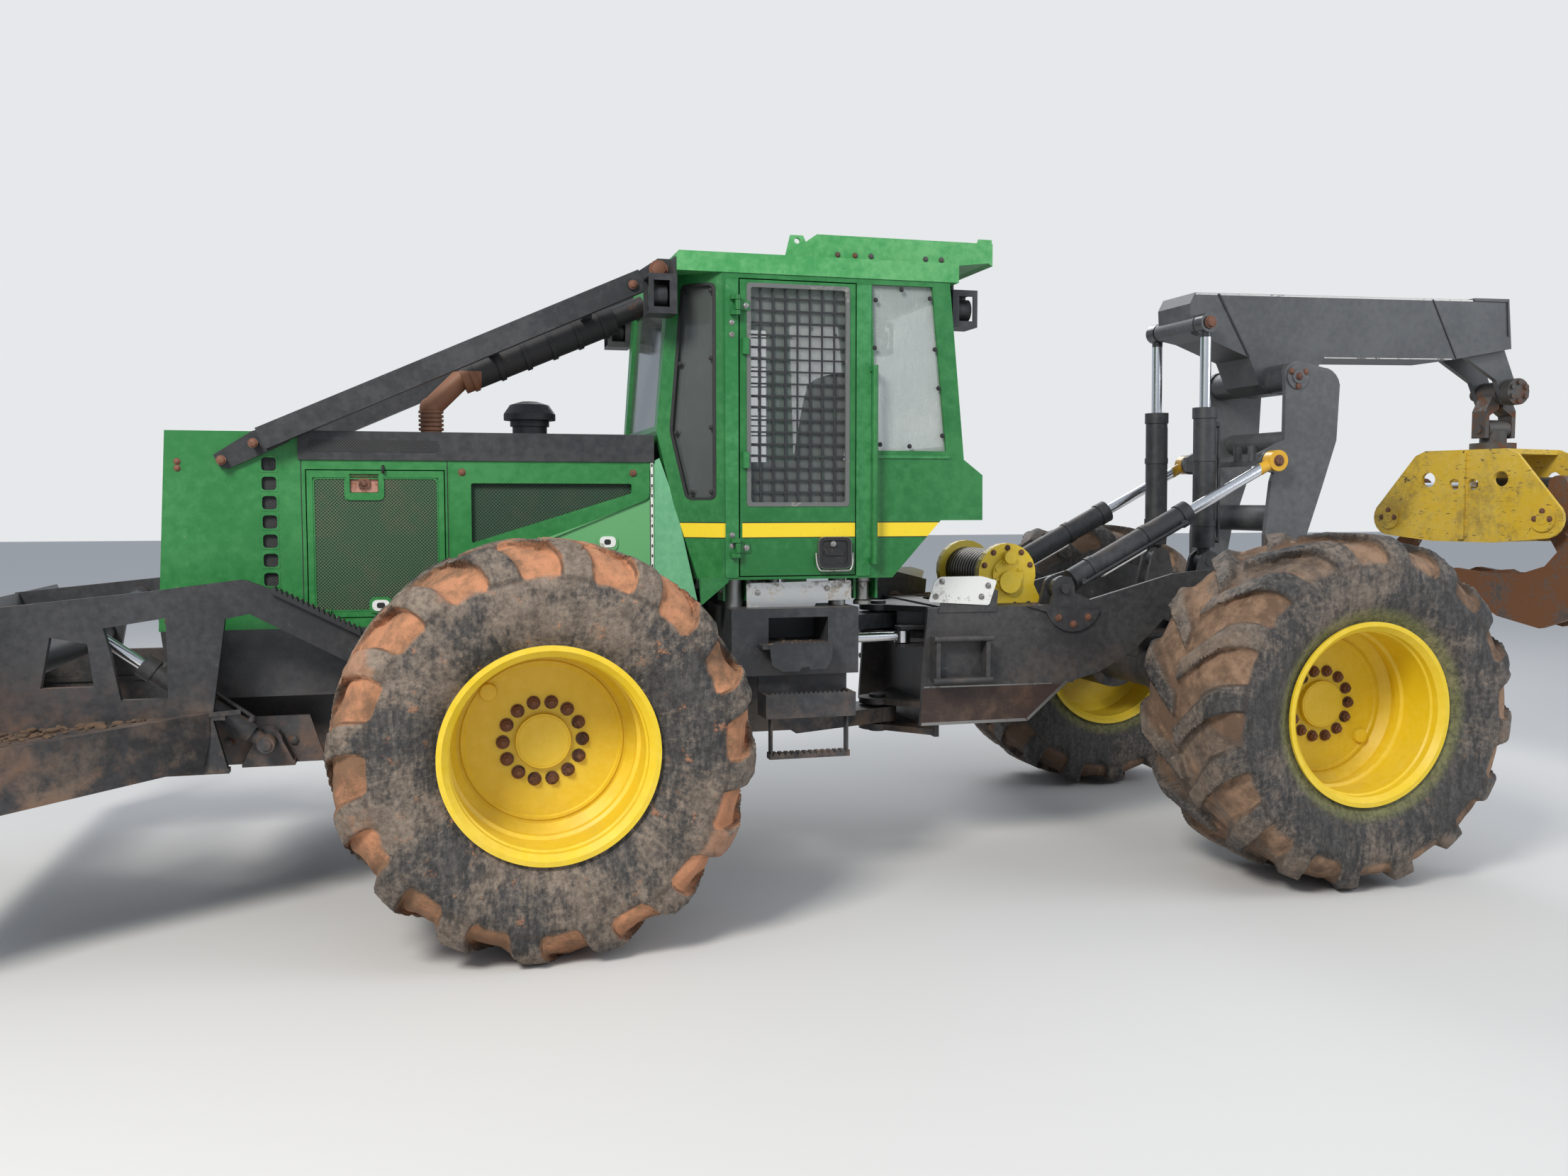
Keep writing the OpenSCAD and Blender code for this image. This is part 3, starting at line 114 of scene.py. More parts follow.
class Expr:
    """A number or a colour in a material. Python's operators on a number add Math nodes."""

    def __init__(self, graph: "Graph", socket: bpy.types.NodeSocket) -> None:
        """Wraps a socket.

        Args:
            graph: the material that the socket is in.
            socket: an output socket.
        """
        self.graph = graph
        self.socket = socket

    def __add__(self, other: "Expr | float") -> "Expr":
        """Sum."""
        return self.graph.math("ADD", self, other)

    def __radd__(self, other: float) -> "Expr":
        """Sum with a number in front."""
        return self.graph.math("ADD", other, self)

    def __sub__(self, other: "Expr | float") -> "Expr":
        """Difference."""
        return self.graph.math("SUBTRACT", self, other)

    def __rsub__(self, other: float) -> "Expr":
        """Difference from a number."""
        return self.graph.math("SUBTRACT", other, self)

    def __mul__(self, other: "Expr | float") -> "Expr":
        """Product."""
        return self.graph.math("MULTIPLY", self, other)

    def __rmul__(self, other: float) -> "Expr":
        """Product with a number in front."""
        return self.graph.math("MULTIPLY", other, self)

    def __truediv__(self, other: "Expr | float") -> "Expr":
        """Quotient."""
        return self.graph.math("DIVIDE", self, other)

    def __gt__(self, other: "Expr | float") -> "Expr":
        """1 where this is greater."""
        return self.graph.math("GREATER_THAN", self, other)

    def __lt__(self, other: "Expr | float") -> "Expr":
        """1 where this is less."""
        return self.graph.math("LESS_THAN", self, other)

    def __abs__(self) -> "Expr":
        """Size without sign."""
        return self.graph.math("ABSOLUTE", self)

    def most(self, other: "Expr | float") -> "Expr":
        """The larger of the two."""
        return self.graph.math("MAXIMUM", self, other)

    def root(self) -> "Expr":
        """Square root."""
        return self.graph.math("SQRT", self)

    def clamped(self) -> "Expr":
        """This value kept between 0 and 1."""
        return self.graph.math("ADD", self, 0.0, clamp=True)

    def ramp(self, low: float, high: float) -> "Expr":
        """Smooth step: 0 at low and 1 at high; low may be the larger.

        Args:
            low: value that becomes 0.
            high: value that becomes 1.

        Returns:
            The stepped value.
        """
        if low > high:
            return 1.0 - self.ramp(high, low)
        node = self.graph.node("ShaderNodeMapRange", {"interpolation_type": "SMOOTHSTEP"},
                               {"Value": self, "From Min": low, "From Max": high})
        return Expr(self.graph, node.outputs["Result"])

    def towards(self, other: "Expr | Colour", amount: "Expr | float") -> "Expr":
        """This colour mixed towards another by an amount of 0 to 1."""
        return self.graph.mix(self, other, amount)


class Graph:
    """A material's nodes, built from expressions."""

    def __init__(self, name: str) -> None:
        """Starts a material with one Principled shader.

        Args:
            name: the material's name.
        """
        self.material = bpy.data.materials.new(name)
        self.material.use_nodes = True
        self.tree = self.material.node_tree
        self.tree.nodes.clear()
        self.shader = self.node("ShaderNodeBsdfPrincipled")
        self.node("ShaderNodeOutputMaterial", None, {"Surface": self.shader.outputs[0]})
        self.place = self.node("ShaderNodeTexCoord").outputs["Object"]
        self.split: tuple[Expr, ...] | None = None

    def fill(self, socket: bpy.types.NodeSocket, value: object) -> None:
        """Feeds an input socket.

        Args:
            socket: the input.
            value: a number, colour, vector, Expr or output socket.
        """
        value = value.socket if isinstance(value, Expr) else value
        if isinstance(value, bpy.types.NodeSocket):
            self.tree.links.new(value, socket)
        elif isinstance(value, tuple) and len(value) == 3 and socket.type == "RGBA":
            socket.default_value = (*value, 1.0)
        else:
            socket.default_value = value

    def node(self, kind: str, settings: dict[str, object] | None = None,
             inputs: dict[str | int, object] | None = None) -> bpy.types.Node:
        """Adds a node, sets it up, then fills its sockets.

        Args:
            kind: the node's type.
            settings: properties by name.
            inputs: what fills its sockets, by name or number.

        Returns:
            The new node.
        """
        node = self.tree.nodes.new(kind)
        for key, value in (settings or {}).items():
            setattr(node, key, value)
        for key, value in (inputs or {}).items():
            self.fill(node.inputs[key], value)
        return node

    def math(self, operation: str, *inputs: Expr | float, clamp: bool = False) -> Expr:
        """Adds a Math node.

        Args:
            operation: what it does.
            inputs: its inputs in order.
            clamp: True to keep the result between 0 and 1.

        Returns:
            The node's result.
        """
        node = self.node("ShaderNodeMath", {"operation": operation, "use_clamp": clamp}, dict(enumerate(inputs)))
        return Expr(self, node.outputs[0])

    def parts(self, vector: bpy.types.NodeSocket) -> tuple[Expr, ...]:
        """X, Y and Z of a vector."""
        return tuple(Expr(self, output) for output in self.node("ShaderNodeSeparateXYZ", None, {0: vector}).outputs)

    def axes(self) -> tuple[Expr, ...]:
        """The place on the machine in metres, taken apart once.

        Returns:
            X, Y and Z.
        """
        if self.split is None:
            self.split = self.parts(self.place)
        return self.split

    def field(self, name: str) -> Expr:
        """A number that the piece's own points carry."""
        node = self.node("ShaderNodeAttribute", {"attribute_name": name})
        return Expr(self, node.outputs["Fac"])

    def joined(self, x: Expr | float, y: Expr | float, z: Expr | float) -> bpy.types.NodeSocket:
        """A place put together from three values."""
        return self.node("ShaderNodeCombineXYZ", None, {0: x, 1: y, 2: z}).outputs[0]

    def facing(self) -> tuple[Expr, ...]:
        """The surface's direction at rest, as X, Y and Z."""
        return self.parts(self.node("ShaderNodeNewGeometry").outputs["Normal"])

    def stretched(self, scale: Point, turn: Point = (0.0, 0.0, 0.0)) -> bpy.types.NodeSocket:
        """Place on the machine scaled by axis, so that a pattern runs along one of them."""
        node = self.node("ShaderNodeMapping", None, {"Vector": self.place, "Scale": scale, "Rotation": turn})
        return node.outputs[0]

    def noise(self, scale: float, detail: float = 4.0, rough: float = 0.55,
              vector: bpy.types.NodeSocket | None = None) -> Expr:
        """Soft random clouds around 0.5.

        Args:
            scale: clouds in a metre.
            detail: layers of finer clouds.
            rough: strength of the finer layers.
            vector: the place to read, the machine's own by default.

        Returns:
            The noise.
        """
        node = self.node("ShaderNodeTexNoise", None, {"Vector": vector or self.place, "Scale": scale,
                                                      "Detail": detail, "Roughness": rough})
        return Expr(self, node.outputs[0])

    def cells(self, scale: float, vector: bpy.types.NodeSocket | None = None, random: float = 1.0) -> Expr:
        """Distance to the nearest of many points, which stand in a lattice at a random of 0."""
        node = self.node("ShaderNodeTexVoronoi", None, {"Vector": vector or self.place, "Scale": scale,
                                                        "Randomness": random})
        return Expr(self, node.outputs["Distance"])

    def mix(self, first: Expr | Colour, second: Expr | Colour, amount: Expr | float) -> Expr:
        """A colour between two others.

        Args:
            first: the colour at 0.
            second: the colour at 1.
            amount: the place between them.

        Returns:
            The mixed colour.
        """
        node = self.node("ShaderNodeMix", {"data_type": "RGBA"}, {0: amount, 6: first, 7: second})
        return Expr(self, node.outputs[2])

    def bump(self, height: Expr, depth: float, strength: float = 1.0) -> None:
        """Feeds a height in metres times depth to the shader's normal."""
        node = self.node("ShaderNodeBump", None, {"Height": height, "Distance": depth, "Strength": strength})
        self.tree.links.new(node.outputs[0], self.shader.inputs["Normal"])

    def set(self, **sockets: object) -> None:
        """Sets the shader's sockets; an underscore in a name stands for a space.

        Args:
            sockets: values by socket name.
        """
        for name, value in sockets.items():
            self.fill(self.shader.inputs[name.replace("_", " ")], value)


# ---- finishes ----------------------------------------------------------------------------

CLAY: Colour = (0.36, 0.17, 0.075)
DUST: Colour = (0.30, 0.23, 0.17)
BARE_STEEL: Colour = (0.23, 0.22, 0.21)
RUST: Colour = (0.14, 0.055, 0.025)
SMUT: Colour = (0.17, 0.11, 0.03)
DARK_SMUT: Colour = (0.07, 0.05, 0.03)
WEDGE_GREEN: Colour = (0.12, 0.36, 0.14)
STRIPE_EDGE: Colour = (0.012, 0.014, 0.012)
STRIPE_YELLOW: Colour = (0.78, 0.57, 0.02)
PALE_CHIP: Colour = (0.25, 0.27, 0.20)
# the cab's stripe: its middle height, and the gaps along X at the door's edges
STRIPE_Z = 1.722
STRIPE_GAPS: tuple[Spot, ...] = ((0.935, 1.005), (0.270, 0.377))
# painted shade seen through the holes of a perforated screen
PAINTED_HOLE_SHADE: Colour = (0.008, 0.009, 0.009)
QUARTER_DARK: Colour = (0.035, 0.04, 0.038)
PANE_DUST: Colour = (0.62, 0.60, 0.54)
RUBBER_BLACK: Colour = (0.022, 0.021, 0.021)
RUBBER_WORN: Colour = (0.085, 0.078, 0.072)
CRUST: Colour = (0.115, 0.083, 0.060)
CRUST_PALE: Colour = (0.29, 0.225, 0.17)
WET_CLAY: Colour = (0.10, 0.055, 0.032)
# painted shade for the crevices between a tyre's lugs and its grooves
PAINTED_CREVICE_SHADE: Colour = (0.035, 0.024, 0.017)
OVERSPRAY: Colour = (0.30, 0.30, 0.075)


@dataclass(frozen=True)
class Patch:
    """A block of space, alike on both sides of the machine, where a finish takes another colour.

    low and high are its corners, with Y as the distance from the machine's middle; metallic is the patch's own.
    """

    colour: Colour
    low: Point
    high: Point
    metallic: float = 0.0

    def mask(self, g: Graph) -> Expr:
        """Where the patch is.

        Args:
            g: the material.

        Returns:
            1 inside the block and 0 outside.
        """
        x, y, z = g.axes()
        inside = None
        for value, low, high in zip((x, abs(y), z), self.low, self.high):
            part = (value > low) * (value < high)
            inside = part if inside is None else inside * part
        return inside


@dataclass(frozen=True)
class Paint:
    """Old machine paint: faded, scratched, chipped and dusty.

    chips and scratches are shares of the surface; grime is the strength of dark stains; dust is the strength of the
    clay at the machine's feet, which thins out up to dust_top metres.
    """

    name: str
    colour: Colour
    faded: Colour
    chip: Colour = BARE_STEEL
    chips: float = 0.02
    scratches: float = 0.3
    rough: float = 0.45
    dust: float = 0.5
    dust_top: float = 1.5
    grime: float = 0.0
    stripe: bool = False
    wedge: bool = False
    patches: tuple[Patch, ...] = ()

    def build(self) -> bpy.types.Material:
        """Makes the material."""
        g = Graph(self.name)
        metal: Expr | float = 0.0
        x, y, z = g.axes()
        up = g.facing()[2]
        broad = g.noise(1.7, 5.0, 0.6)
        fine = g.noise(26.0, 6.0, 0.65)
        tint = g.mix(self.colour, self.faded, (broad * 0.6 + fine * 0.5).ramp(0.42, 0.72))
        if self.wedge:
            tint = tint.towards(WEDGE_GREEN, hood_wedge(x, z))
        if self.stripe:
            side = abs(y) > 0.50
            for start, end in STRIPE_GAPS:
                side = side * (1.0 - (x > start) * (x < end))
            tint = tint.towards(STRIPE_EDGE, abs(z - STRIPE_Z).ramp(0.0385, 0.0375) * side)
            tint = tint.towards(STRIPE_YELLOW, abs(z - STRIPE_Z).ramp(0.034, 0.0325) * side)
        for patch in self.patches:
            mask = patch.mask(g)
            tint = tint.towards(patch.colour, mask)
            metal = mask * patch.metallic + metal
        # long thin scratches along the machine, and short ones across
        marks = g.noise(9.0, 3.0, 0.7, g.stretched((0.6, 6.0, 22.0), (0.0, 0.25, 0.1)))
        across = g.noise(11.0, 3.0, 0.7, g.stretched((18.0, 5.0, 1.0), (0.0, -0.35, 0.0)))
        cut = 0.74 - 0.12 * self.scratches
        scratch = (marks.ramp(cut, cut + 0.03)).most(across.ramp(cut, cut + 0.03))
        tint = tint.towards(self.faded, scratch * 0.55)
        if self.grime > 0.0:
            stains = (g.noise(2.6, 7.0, 0.72) * 0.7 + fine * 0.3).ramp(0.46, 0.62)
            tint = tint.towards(SMUT, stains * self.grime * 0.75)
            slant = g.noise(6.0, 3.0, 0.6, g.stretched((1.4, 3.0, 16.0), (0.0, 0.55, 0.0))).ramp(0.64, 0.67)
            tint = tint.towards(DARK_SMUT, slant * self.grime)
        chipped = (fine * 0.6 + g.noise(7.0, 5.0, 0.7) * 0.4).ramp(0.665 - self.chips, 0.685 - self.chips)
        tint = tint.towards(self.chip, chipped)
        # clay from the wheels, and dust lying on what faces up
        low = z.ramp(self.dust_top, 0.55) * g.noise(5.0, 6.0, 0.7).ramp(0.42, 0.66)
        lying = up.ramp(0.55, 0.95) * g.noise(3.0, 5.0, 0.6).ramp(0.35, 0.75) * 0.55
        dirt = ((low + lying) * self.dust).clamped()
        tint = tint.towards(g.mix(DUST, CLAY, broad.ramp(0.35, 0.65)), dirt)
        g.set(Base_Color=tint, Roughness=(self.rough + fine * 0.18 + dirt * 0.35).clamped(),
              Metallic=(chipped * 0.6 + metal).clamped())
        g.bump(fine * 0.3 + dirt, 0.0015, 0.6)
        return g.material


def hood_wedge(x: Expr, z: Expr) -> Expr:
    """The paler corner panel under the hood's rear screen, as a mask.

    Args:
        x: place along the machine.
        z: height.

    Returns:
        1 inside the three-sided panel: below the line that falls forward from the cab, above its foot line.
    """
    slope = 1.536 + (2.24 - x) * 0.36
    return (z < slope) * (x < 2.24) * (z > 1.345)


@dataclass(frozen=True)
class Metal:
    """Bare or plated metal with stains.

    stain is the share that the stain colour covers.
    """

    name: str
    colour: Colour
    stain_colour: Colour
    stain: float = 0.3
    rough: float = 0.3
    metallic: float = 1.0
    patches: tuple[Patch, ...] = ()

    def build(self) -> bpy.types.Material:
        """Makes the material."""
        g = Graph(self.name)
        clouds = g.noise(6.0, 6.0, 0.7)
        fine = g.noise(60.0, 4.0, 0.6)
        stain = (clouds * 0.7 + fine * 0.3).ramp(0.66 - 0.3 * self.stain, 0.76 - 0.3 * self.stain)
        tint = g.mix(self.colour, self.stain_colour, stain)
        metal = self.metallic - stain * 0.6
        for patch in self.patches:
            mask = patch.mask(g)
            tint = tint.towards(patch.colour, mask * (1.0 - stain * 0.5))
            metal = metal - mask
        g.set(Base_Color=tint, Roughness=(self.rough + stain * 0.45 + fine * 0.1).clamped(),
              Metallic=metal.clamped())
        g.bump(fine, 0.0008, 0.4)
        return g.material


@dataclass(frozen=True)
class Rubber:
    """Tyre rubber under dried clay; reads the skin's fields lug (1 on a lug) and cake (1 under thick clay).

    clay is the share that the clay covers, axle the wheel's place along the machine and its height; pale and dark
    are the clay's colours; the rear tyre's are darker partly as painted shade.
    """

    name: str
    clay: float
    axle: Spot
    pale: Colour
    dark: Colour
    ring: float = 0.0

    def build(self) -> bpy.types.Material:
        """Makes the material."""
        g = Graph(self.name)
        x, y, z = g.axes()
        dx, dz = x - self.axle[0], z - self.axle[1]
        r = (dx * dx + dz * dz).root()
        lug, cake = g.field("lug"), g.field("cake")
        broad = g.noise(1.9, 5.0, 0.6)
        fine = g.noise(42.0, 8.0, 0.72)
        lumps = g.noise(13.0, 6.0, 0.7)
        # smears that run out along the radius, and slanted scuffs across them
        smear = g.noise(7.0, 7.0, 0.75, g.joined(dx / r * 3.2, y * 0.4, dz / r * 3.2 + r * 0.5))
        scuff = g.noise(16.0, 6.0, 0.75, g.stretched((2.6, 1.0, 0.55), (0.0, 0.7, 0.0)))
        rubber = g.mix(RUBBER_BLACK, RUBBER_WORN, (fine * 0.5 + scuff * 0.5).ramp(0.40, 0.64))
        crust = g.mix(CRUST, CRUST_PALE, (fine * 0.5 + lumps * 0.5).ramp(0.36, 0.64))
        clay = g.mix(self.dark, self.pale, (broad * 0.6 + lumps * 0.4 - dx * 0.05).ramp(0.42, 0.58))
        clay = clay.towards(WET_CLAY, fine.ramp(0.58, 0.72) * 0.55)
        # the crust of dry mud on the flank and on the lugs wears off in streaks and broad bare patches
        worn = broad * 0.54 + smear * 0.18 + scuff * 0.14 + fine * 0.14
        tip = r.ramp(0.66, 0.80) * 0.05
        wall = (worn + tip).ramp(0.530 - 0.080 * self.clay, 0.640 - 0.080 * self.clay)
        tint = rubber.towards(crust, wall * (0.50 + 0.38 * self.clay))
        cover = cake.ramp(0.05, 0.30) * (lumps * 0.5 + fine * 0.5).ramp(0.30, 0.42 - 0.08 * self.clay)
        stray = (1.0 - lug) * lumps.ramp(0.60, 0.68) * self.clay * 0.6 + lug * broad.ramp(0.56, 0.62) * self.clay * 0.5
        cover = (cover + stray).clamped()
        tint = tint.towards(clay, cover)
        # painted shade: the crevice where a lug rises from its groove is darkened
        edge = (lug * (1.0 - lug) * 4.0).ramp(0.35, 1.0) * lumps.ramp(0.38, 0.60) * 0.75
        tint = tint.towards(PAINTED_CREVICE_SHADE, edge)
        halo = abs(r - 0.466).ramp(0.060, 0.005) * self.ring * (0.45 + fine.ramp(0.35, 0.6) * 0.55)
        tint = tint.towards(OVERSPRAY, halo)
        g.set(Base_Color=tint, Roughness=(0.66 + cover * 0.28).clamped(), Metallic=0.0)
        g.bump(lumps * 0.4 + fine * 0.6 + cover * 0.3, 0.014, 0.9)
        return g.material


@dataclass(frozen=True)
class Pane:
    """A scratched window sheet that can be seen through."""

    name: str
    colour: Colour
    alpha: float
    haze: float = 0.3

    def build(self) -> bpy.types.Material:
        """Makes the material."""
        g = Graph(self.name)
        g.material.surface_render_method = "BLENDED"
        haze = g.noise(2.4, 6.0, 0.7).ramp(0.4, 0.8)
        streak = g.noise(7.0, 4.0, 0.7, g.stretched((9.0, 9.0, 1.0))).ramp(0.55, 0.75)
        veil = ((haze + streak) * self.haze).clamped()
        # glass forward of x 1.0, the front quarter, is darkened to near-black and made nearly opaque
        front_dark = g.axes()[0].ramp(0.98, 1.02)
        g.set(Base_Color=g.mix(self.colour, PANE_DUST, veil).towards(QUARTER_DARK, front_dark * 0.92),
              Roughness=(0.08 + veil * 0.5).clamped(), Metallic=0.0,
              Alpha=(self.alpha + veil * 0.5 + front_dark * 0.52).clamped())
        return g.material


@dataclass(frozen=True)
class Screen:
    """Perforated sheet: staggered round holes of a pitch in metres, on any upright face; the holes are painted shade.
    """

    name: str
    colour: Colour
    dirt: Colour
    pitch: float = 0.011

    def build(self) -> bpy.types.Material:
        """Makes the material."""
        g = Graph(self.name)
        x, y, z = g.axes()
        across = x + abs(y)
        lattice = g.joined((across + z) * math.sqrt(0.5), 0.0, (z - across) * math.sqrt(0.5))
        # the holes are not cut: they are painted near-black, a painted shade of what lies behind the sheet
        holes = g.cells(1.0 / self.pitch, lattice, 0.0).ramp(0.44, 0.33)
        cloud = g.noise(4.5, 6.0, 0.7)
        tint = g.mix(self.colour, self.dirt, cloud.ramp(0.45, 0.75) * 0.6)
        g.set(Base_Color=tint.towards(PAINTED_HOLE_SHADE, holes), Roughness=0.6, Metallic=0.0)
        g.bump(1.0 - holes, 0.002, 0.8)
        return g.material


GREEN = Paint("green_paint", (0.012, 0.150, 0.030), (0.035, 0.21, 0.055), chip=PALE_CHIP, chips=0.004,
              scratches=0.35, rough=0.33, dust=0.35, dust_top=1.25, wedge=True)
CAB_GREEN = Paint("cab_green_paint", (0.010, 0.125, 0.026), (0.03, 0.185, 0.05), chip=PALE_CHIP, chips=0.004,
                  scratches=0.5, rough=0.30, dust=0.2, dust_top=1.3, stripe=True, patches=(
                      Patch((0.025, 0.025, 0.027), (0.424, 0.70, 1.848), (0.899, 0.7355, 2.854)),
                      Patch((0.018, 0.018, 0.019), (0.40, 0.7515, 1.50), (0.60, 0.79, 1.70))))
POST_GREEN = Paint("post_green_paint", (0.015, 0.15, 0.035), (0.05, 0.24, 0.08), chip=PALE_CHIP, chips=0.01,
                   scratches=0.6, rough=0.32, dust=0.2, dust_top=1.3)
# a pale green that paints light: it stands for the sunlit slanted face between hood and cab
PAINTED_SUNLIT_GREEN = Paint("mint_paint", (0.10, 0.33, 0.17), (0.16, 0.42, 0.23), chips=0.004, scratches=0.4, rough=0.38, dust=0.25)
ROOF_GREEN = Paint("roof_green_paint", (0.035, 0.25, 0.065), (0.11, 0.36, 0.13), chip=(0.2, 0.2, 0.15), chips=0.02,
                   scratches=0.8, rough=0.45, dust=0.3)
BLACK = Paint("black_paint", (0.016, 0.017, 0.019), (0.045, 0.045, 0.048), chips=0.012, scratches=0.6, rough=0.42,
              dust=0.55, dust_top=1.25)
FRAME_BLACK = Paint("frame_black_paint", (0.022, 0.023, 0.026), (0.055, 0.055, 0.058), chips=0.010, scratches=0.6,
                    rough=0.38, dust=0.45, dust_top=1.15, patches=(
                        Patch((0.42, 0.42, 0.41), (0.38, 0.575, 1.3555), (1.0, 0.67, 1.495), 0.8),))
GREY = Paint("rear_grey_paint", (0.028, 0.028, 0.030), (0.065, 0.063, 0.062), chips=0.014, scratches=0.8, rough=0.38,
             dust=0.28, dust_top=1.25, patches=(
                 Patch((0.040, 0.022, 0.017), (-0.885, 0.4985, 0.70), (-0.05, 0.503, 0.90)),))
ARCH_GREY = Paint("arch_grey_paint", (0.060, 0.062, 0.065), (0.105, 0.106, 0.108), chips=0.004, scratches=0.5,
                  rough=0.42, dust=0.15, dust_top=1.0)
BOOM_GREY = Paint("boom_grey_paint", (0.036, 0.038, 0.041), (0.075, 0.077, 0.080), chips=0.006, scratches=0.7,
                  rough=0.38, dust=0.15, dust_top=1.0)
YELLOW = Paint("yellow_paint", (0.72, 0.50, 0.012), (0.78, 0.56, 0.05), chip=(0.05, 0.045, 0.04), chips=-0.02,
               scratches=0.1, rough=0.36, dust=0.12, dust_top=0.8)
WORN_YELLOW = Paint("worn_yellow_paint", (0.62, 0.40, 0.02), (0.66, 0.47, 0.09), chip=(0.075, 0.05, 0.038), chips=0.055,
                    scratches=1.0, rough=0.42, dust=0.3, grime=0.75)
WINCH_YELLOW = Paint("winch_yellow_paint", (0.72, 0.50, 0.02), (0.74, 0.55, 0.08), chip=(0.10, 0.07, 0.05), chips=0.0,
                     scratches=0.3, rough=0.36, dust=0.25, patches=(
                         Patch((0.10, 0.085, 0.07), (-0.77, 0.0, 1.338), (-0.48, 0.2496, 1.62), 0.7),))
CHROME = Metal("rod_chrome", (0.72, 0.72, 0.73), (0.25, 0.23, 0.2), stain=0.12, rough=0.16)
BOOM_ROD = replace(CHROME, name="boom_rod_chrome", patches=(
    Patch((0.028, 0.028, 0.030), (-1.95, 0.0, 2.765), (-1.70, 0.5, 2.95)),))
EXHAUST = Metal("exhaust_steel", (0.030, 0.030, 0.032), (0.10, 0.055, 0.035), stain=0.35, rough=0.55, metallic=0.3,
                patches=(Patch((0.20, 0.085, 0.042), (2.10, 0.25, 2.10), (2.50, 0.46, 2.46)),))
LATCH_PLATE = Metal("latch_plate", (0.42, 0.20, 0.15), (0.22, 0.10, 0.06), stain=0.5, rough=0.55, metallic=0.1)
ARCH_ROD = replace(CHROME, name="arch_rod_chrome", patches=(
    Patch((0.66, 0.36, 0.02), (-2.40, 0.0, 1.9), (-2.052, 0.6, 2.3)),))
IRON = Metal("iron", (0.09, 0.085, 0.08), RUST, stain=0.55, rough=0.55, metallic=0.6)
TONG_IRON = Metal("worn_iron", (0.16, 0.135, 0.12), (0.17, 0.075, 0.035), stain=0.85, rough=0.5, metallic=0.8)
ALLOY = Metal("alloy_plate", (0.62, 0.62, 0.60), (0.36, 0.33, 0.29), stain=0.45, rough=0.38)
FRONT_TYRE = Rubber("front_tyre_rubber", 0.95, (AXLE_X, WHEEL_RADIUS), (0.50, 0.225, 0.115), (0.215, 0.115, 0.062))
# the rear tyre's clay is browner than the front's, and darker partly as painted shade of its tread, which faces away
# from the light
REAR_TYRE = Rubber("rear_tyre_rubber", 0.45, (-AXLE_X, WHEEL_RADIUS), (0.30, 0.185, 0.115), (0.13, 0.078, 0.048),
                   ring=0.42)
CAB_PANE = Pane("cab_pane", (0.45, 0.50, 0.48), 0.38, haze=0.35)
CAB_TRIM = Metal("cab_trim", (0.03, 0.03, 0.032), (0.10, 0.085, 0.07), stain=0.4, rough=0.7, metallic=0.0)
DARK_SCREEN = Screen("dark_screen", (0.020, 0.075, 0.032), (0.075, 0.085, 0.05))
DOOR_SCREEN = Screen("door_screen", (0.045, 0.125, 0.05), (0.16, 0.13, 0.075), pitch=0.0105)
BLACK_SCREEN = Screen("black_screen", (0.03, 0.03, 0.032), (0.06, 0.058, 0.055), pitch=0.0095)
GASKET = Metal("gasket_rubber", (0.012, 0.012, 0.013), (0.05, 0.048, 0.045), stain=0.35, rough=0.62, metallic=0.0)
BOLT_RUST = Metal("rusty_bolt", (0.17, 0.075, 0.045), (0.055, 0.03, 0.022), stain=0.5, rough=0.6, metallic=0.3)
BOLT_STEEL = Metal("bolt_steel", (0.35, 0.34, 0.32), (0.10, 0.085, 0.07), stain=0.4, rough=0.35)
LENS = Metal("lamp_lens", (0.55, 0.56, 0.55), (0.30, 0.29, 0.26), stain=0.3, rough=0.12, metallic=0.3)
WHITE = Metal("white_paint", (0.74, 0.74, 0.71), (0.33, 0.29, 0.23), stain=0.35, rough=0.5, metallic=0.0)
SEAT_CLOTH = Metal("seat_cloth", (0.035, 0.035, 0.038), (0.07, 0.065, 0.055), stain=0.5, rough=0.9, metallic=0.0)
DOOR_TRIM = Metal("door_trim", (0.14, 0.145, 0.14), (0.24, 0.23, 0.21), stain=0.4, rough=0.42, metallic=0.3)
DOOR_PANE = Pane("door_pane", (0.30, 0.34, 0.33), 0.16, haze=0.18)
DEBRIS = Metal("bark_and_clay", (0.105, 0.066, 0.041), (0.045, 0.032, 0.024), stain=0.55, rough=0.95, metallic=0.0)

Finish = Paint | Metal | Rubber | Pane | Screen
SOLIDS: dict[Finish, str] = {
    FRAME_BLACK: "front_frame", IRON: "engine crosshead rotator", DARK_SCREEN: "hood_screens", EXHAUST: "exhaust",
    BLACK: "front_axle hood_top limb_risers work_lamps blade blade_barrels steering_barrels arch_barrels "
           "boom_barrels grapple_barrel",
    GREEN: "hood engine_door_left engine_door_right", CAB_GREEN: "cab cab_door_left cab_door_right",
    ROOF_GREEN: "cab_roof", CAB_PANE: "cab_glass", CAB_TRIM: "cab_interior", GREY: "rear_frame rear_axle",
    CHROME: "blade_rods steering_rod_left steering_rod_right grapple_rod", WINCH_YELLOW: "winch", ARCH_GREY: "arch",
    ARCH_ROD: "arch_rods", BOOM_GREY: "boom", BOOM_ROD: "boom_rods", WORN_YELLOW: "grapple_head",
    TONG_IRON: "tong_left tong_right", FRONT_TYRE: "front_left_tyre front_right_tyre",
    REAR_TYRE: "rear_left_tyre rear_right_tyre", YELLOW: "front_left_rim front_right_rim rear_left_rim rear_right_rim"}


@functools.cache
def material_of(finish: Finish) -> bpy.types.Material:
    """The material of a finish, made once.

    Args:
        finish: what to make.

    Returns:
        The same material at every call for one finish.
    """
    return finish.build()


# ---- surfaces ----------------------------------------------------------------------------


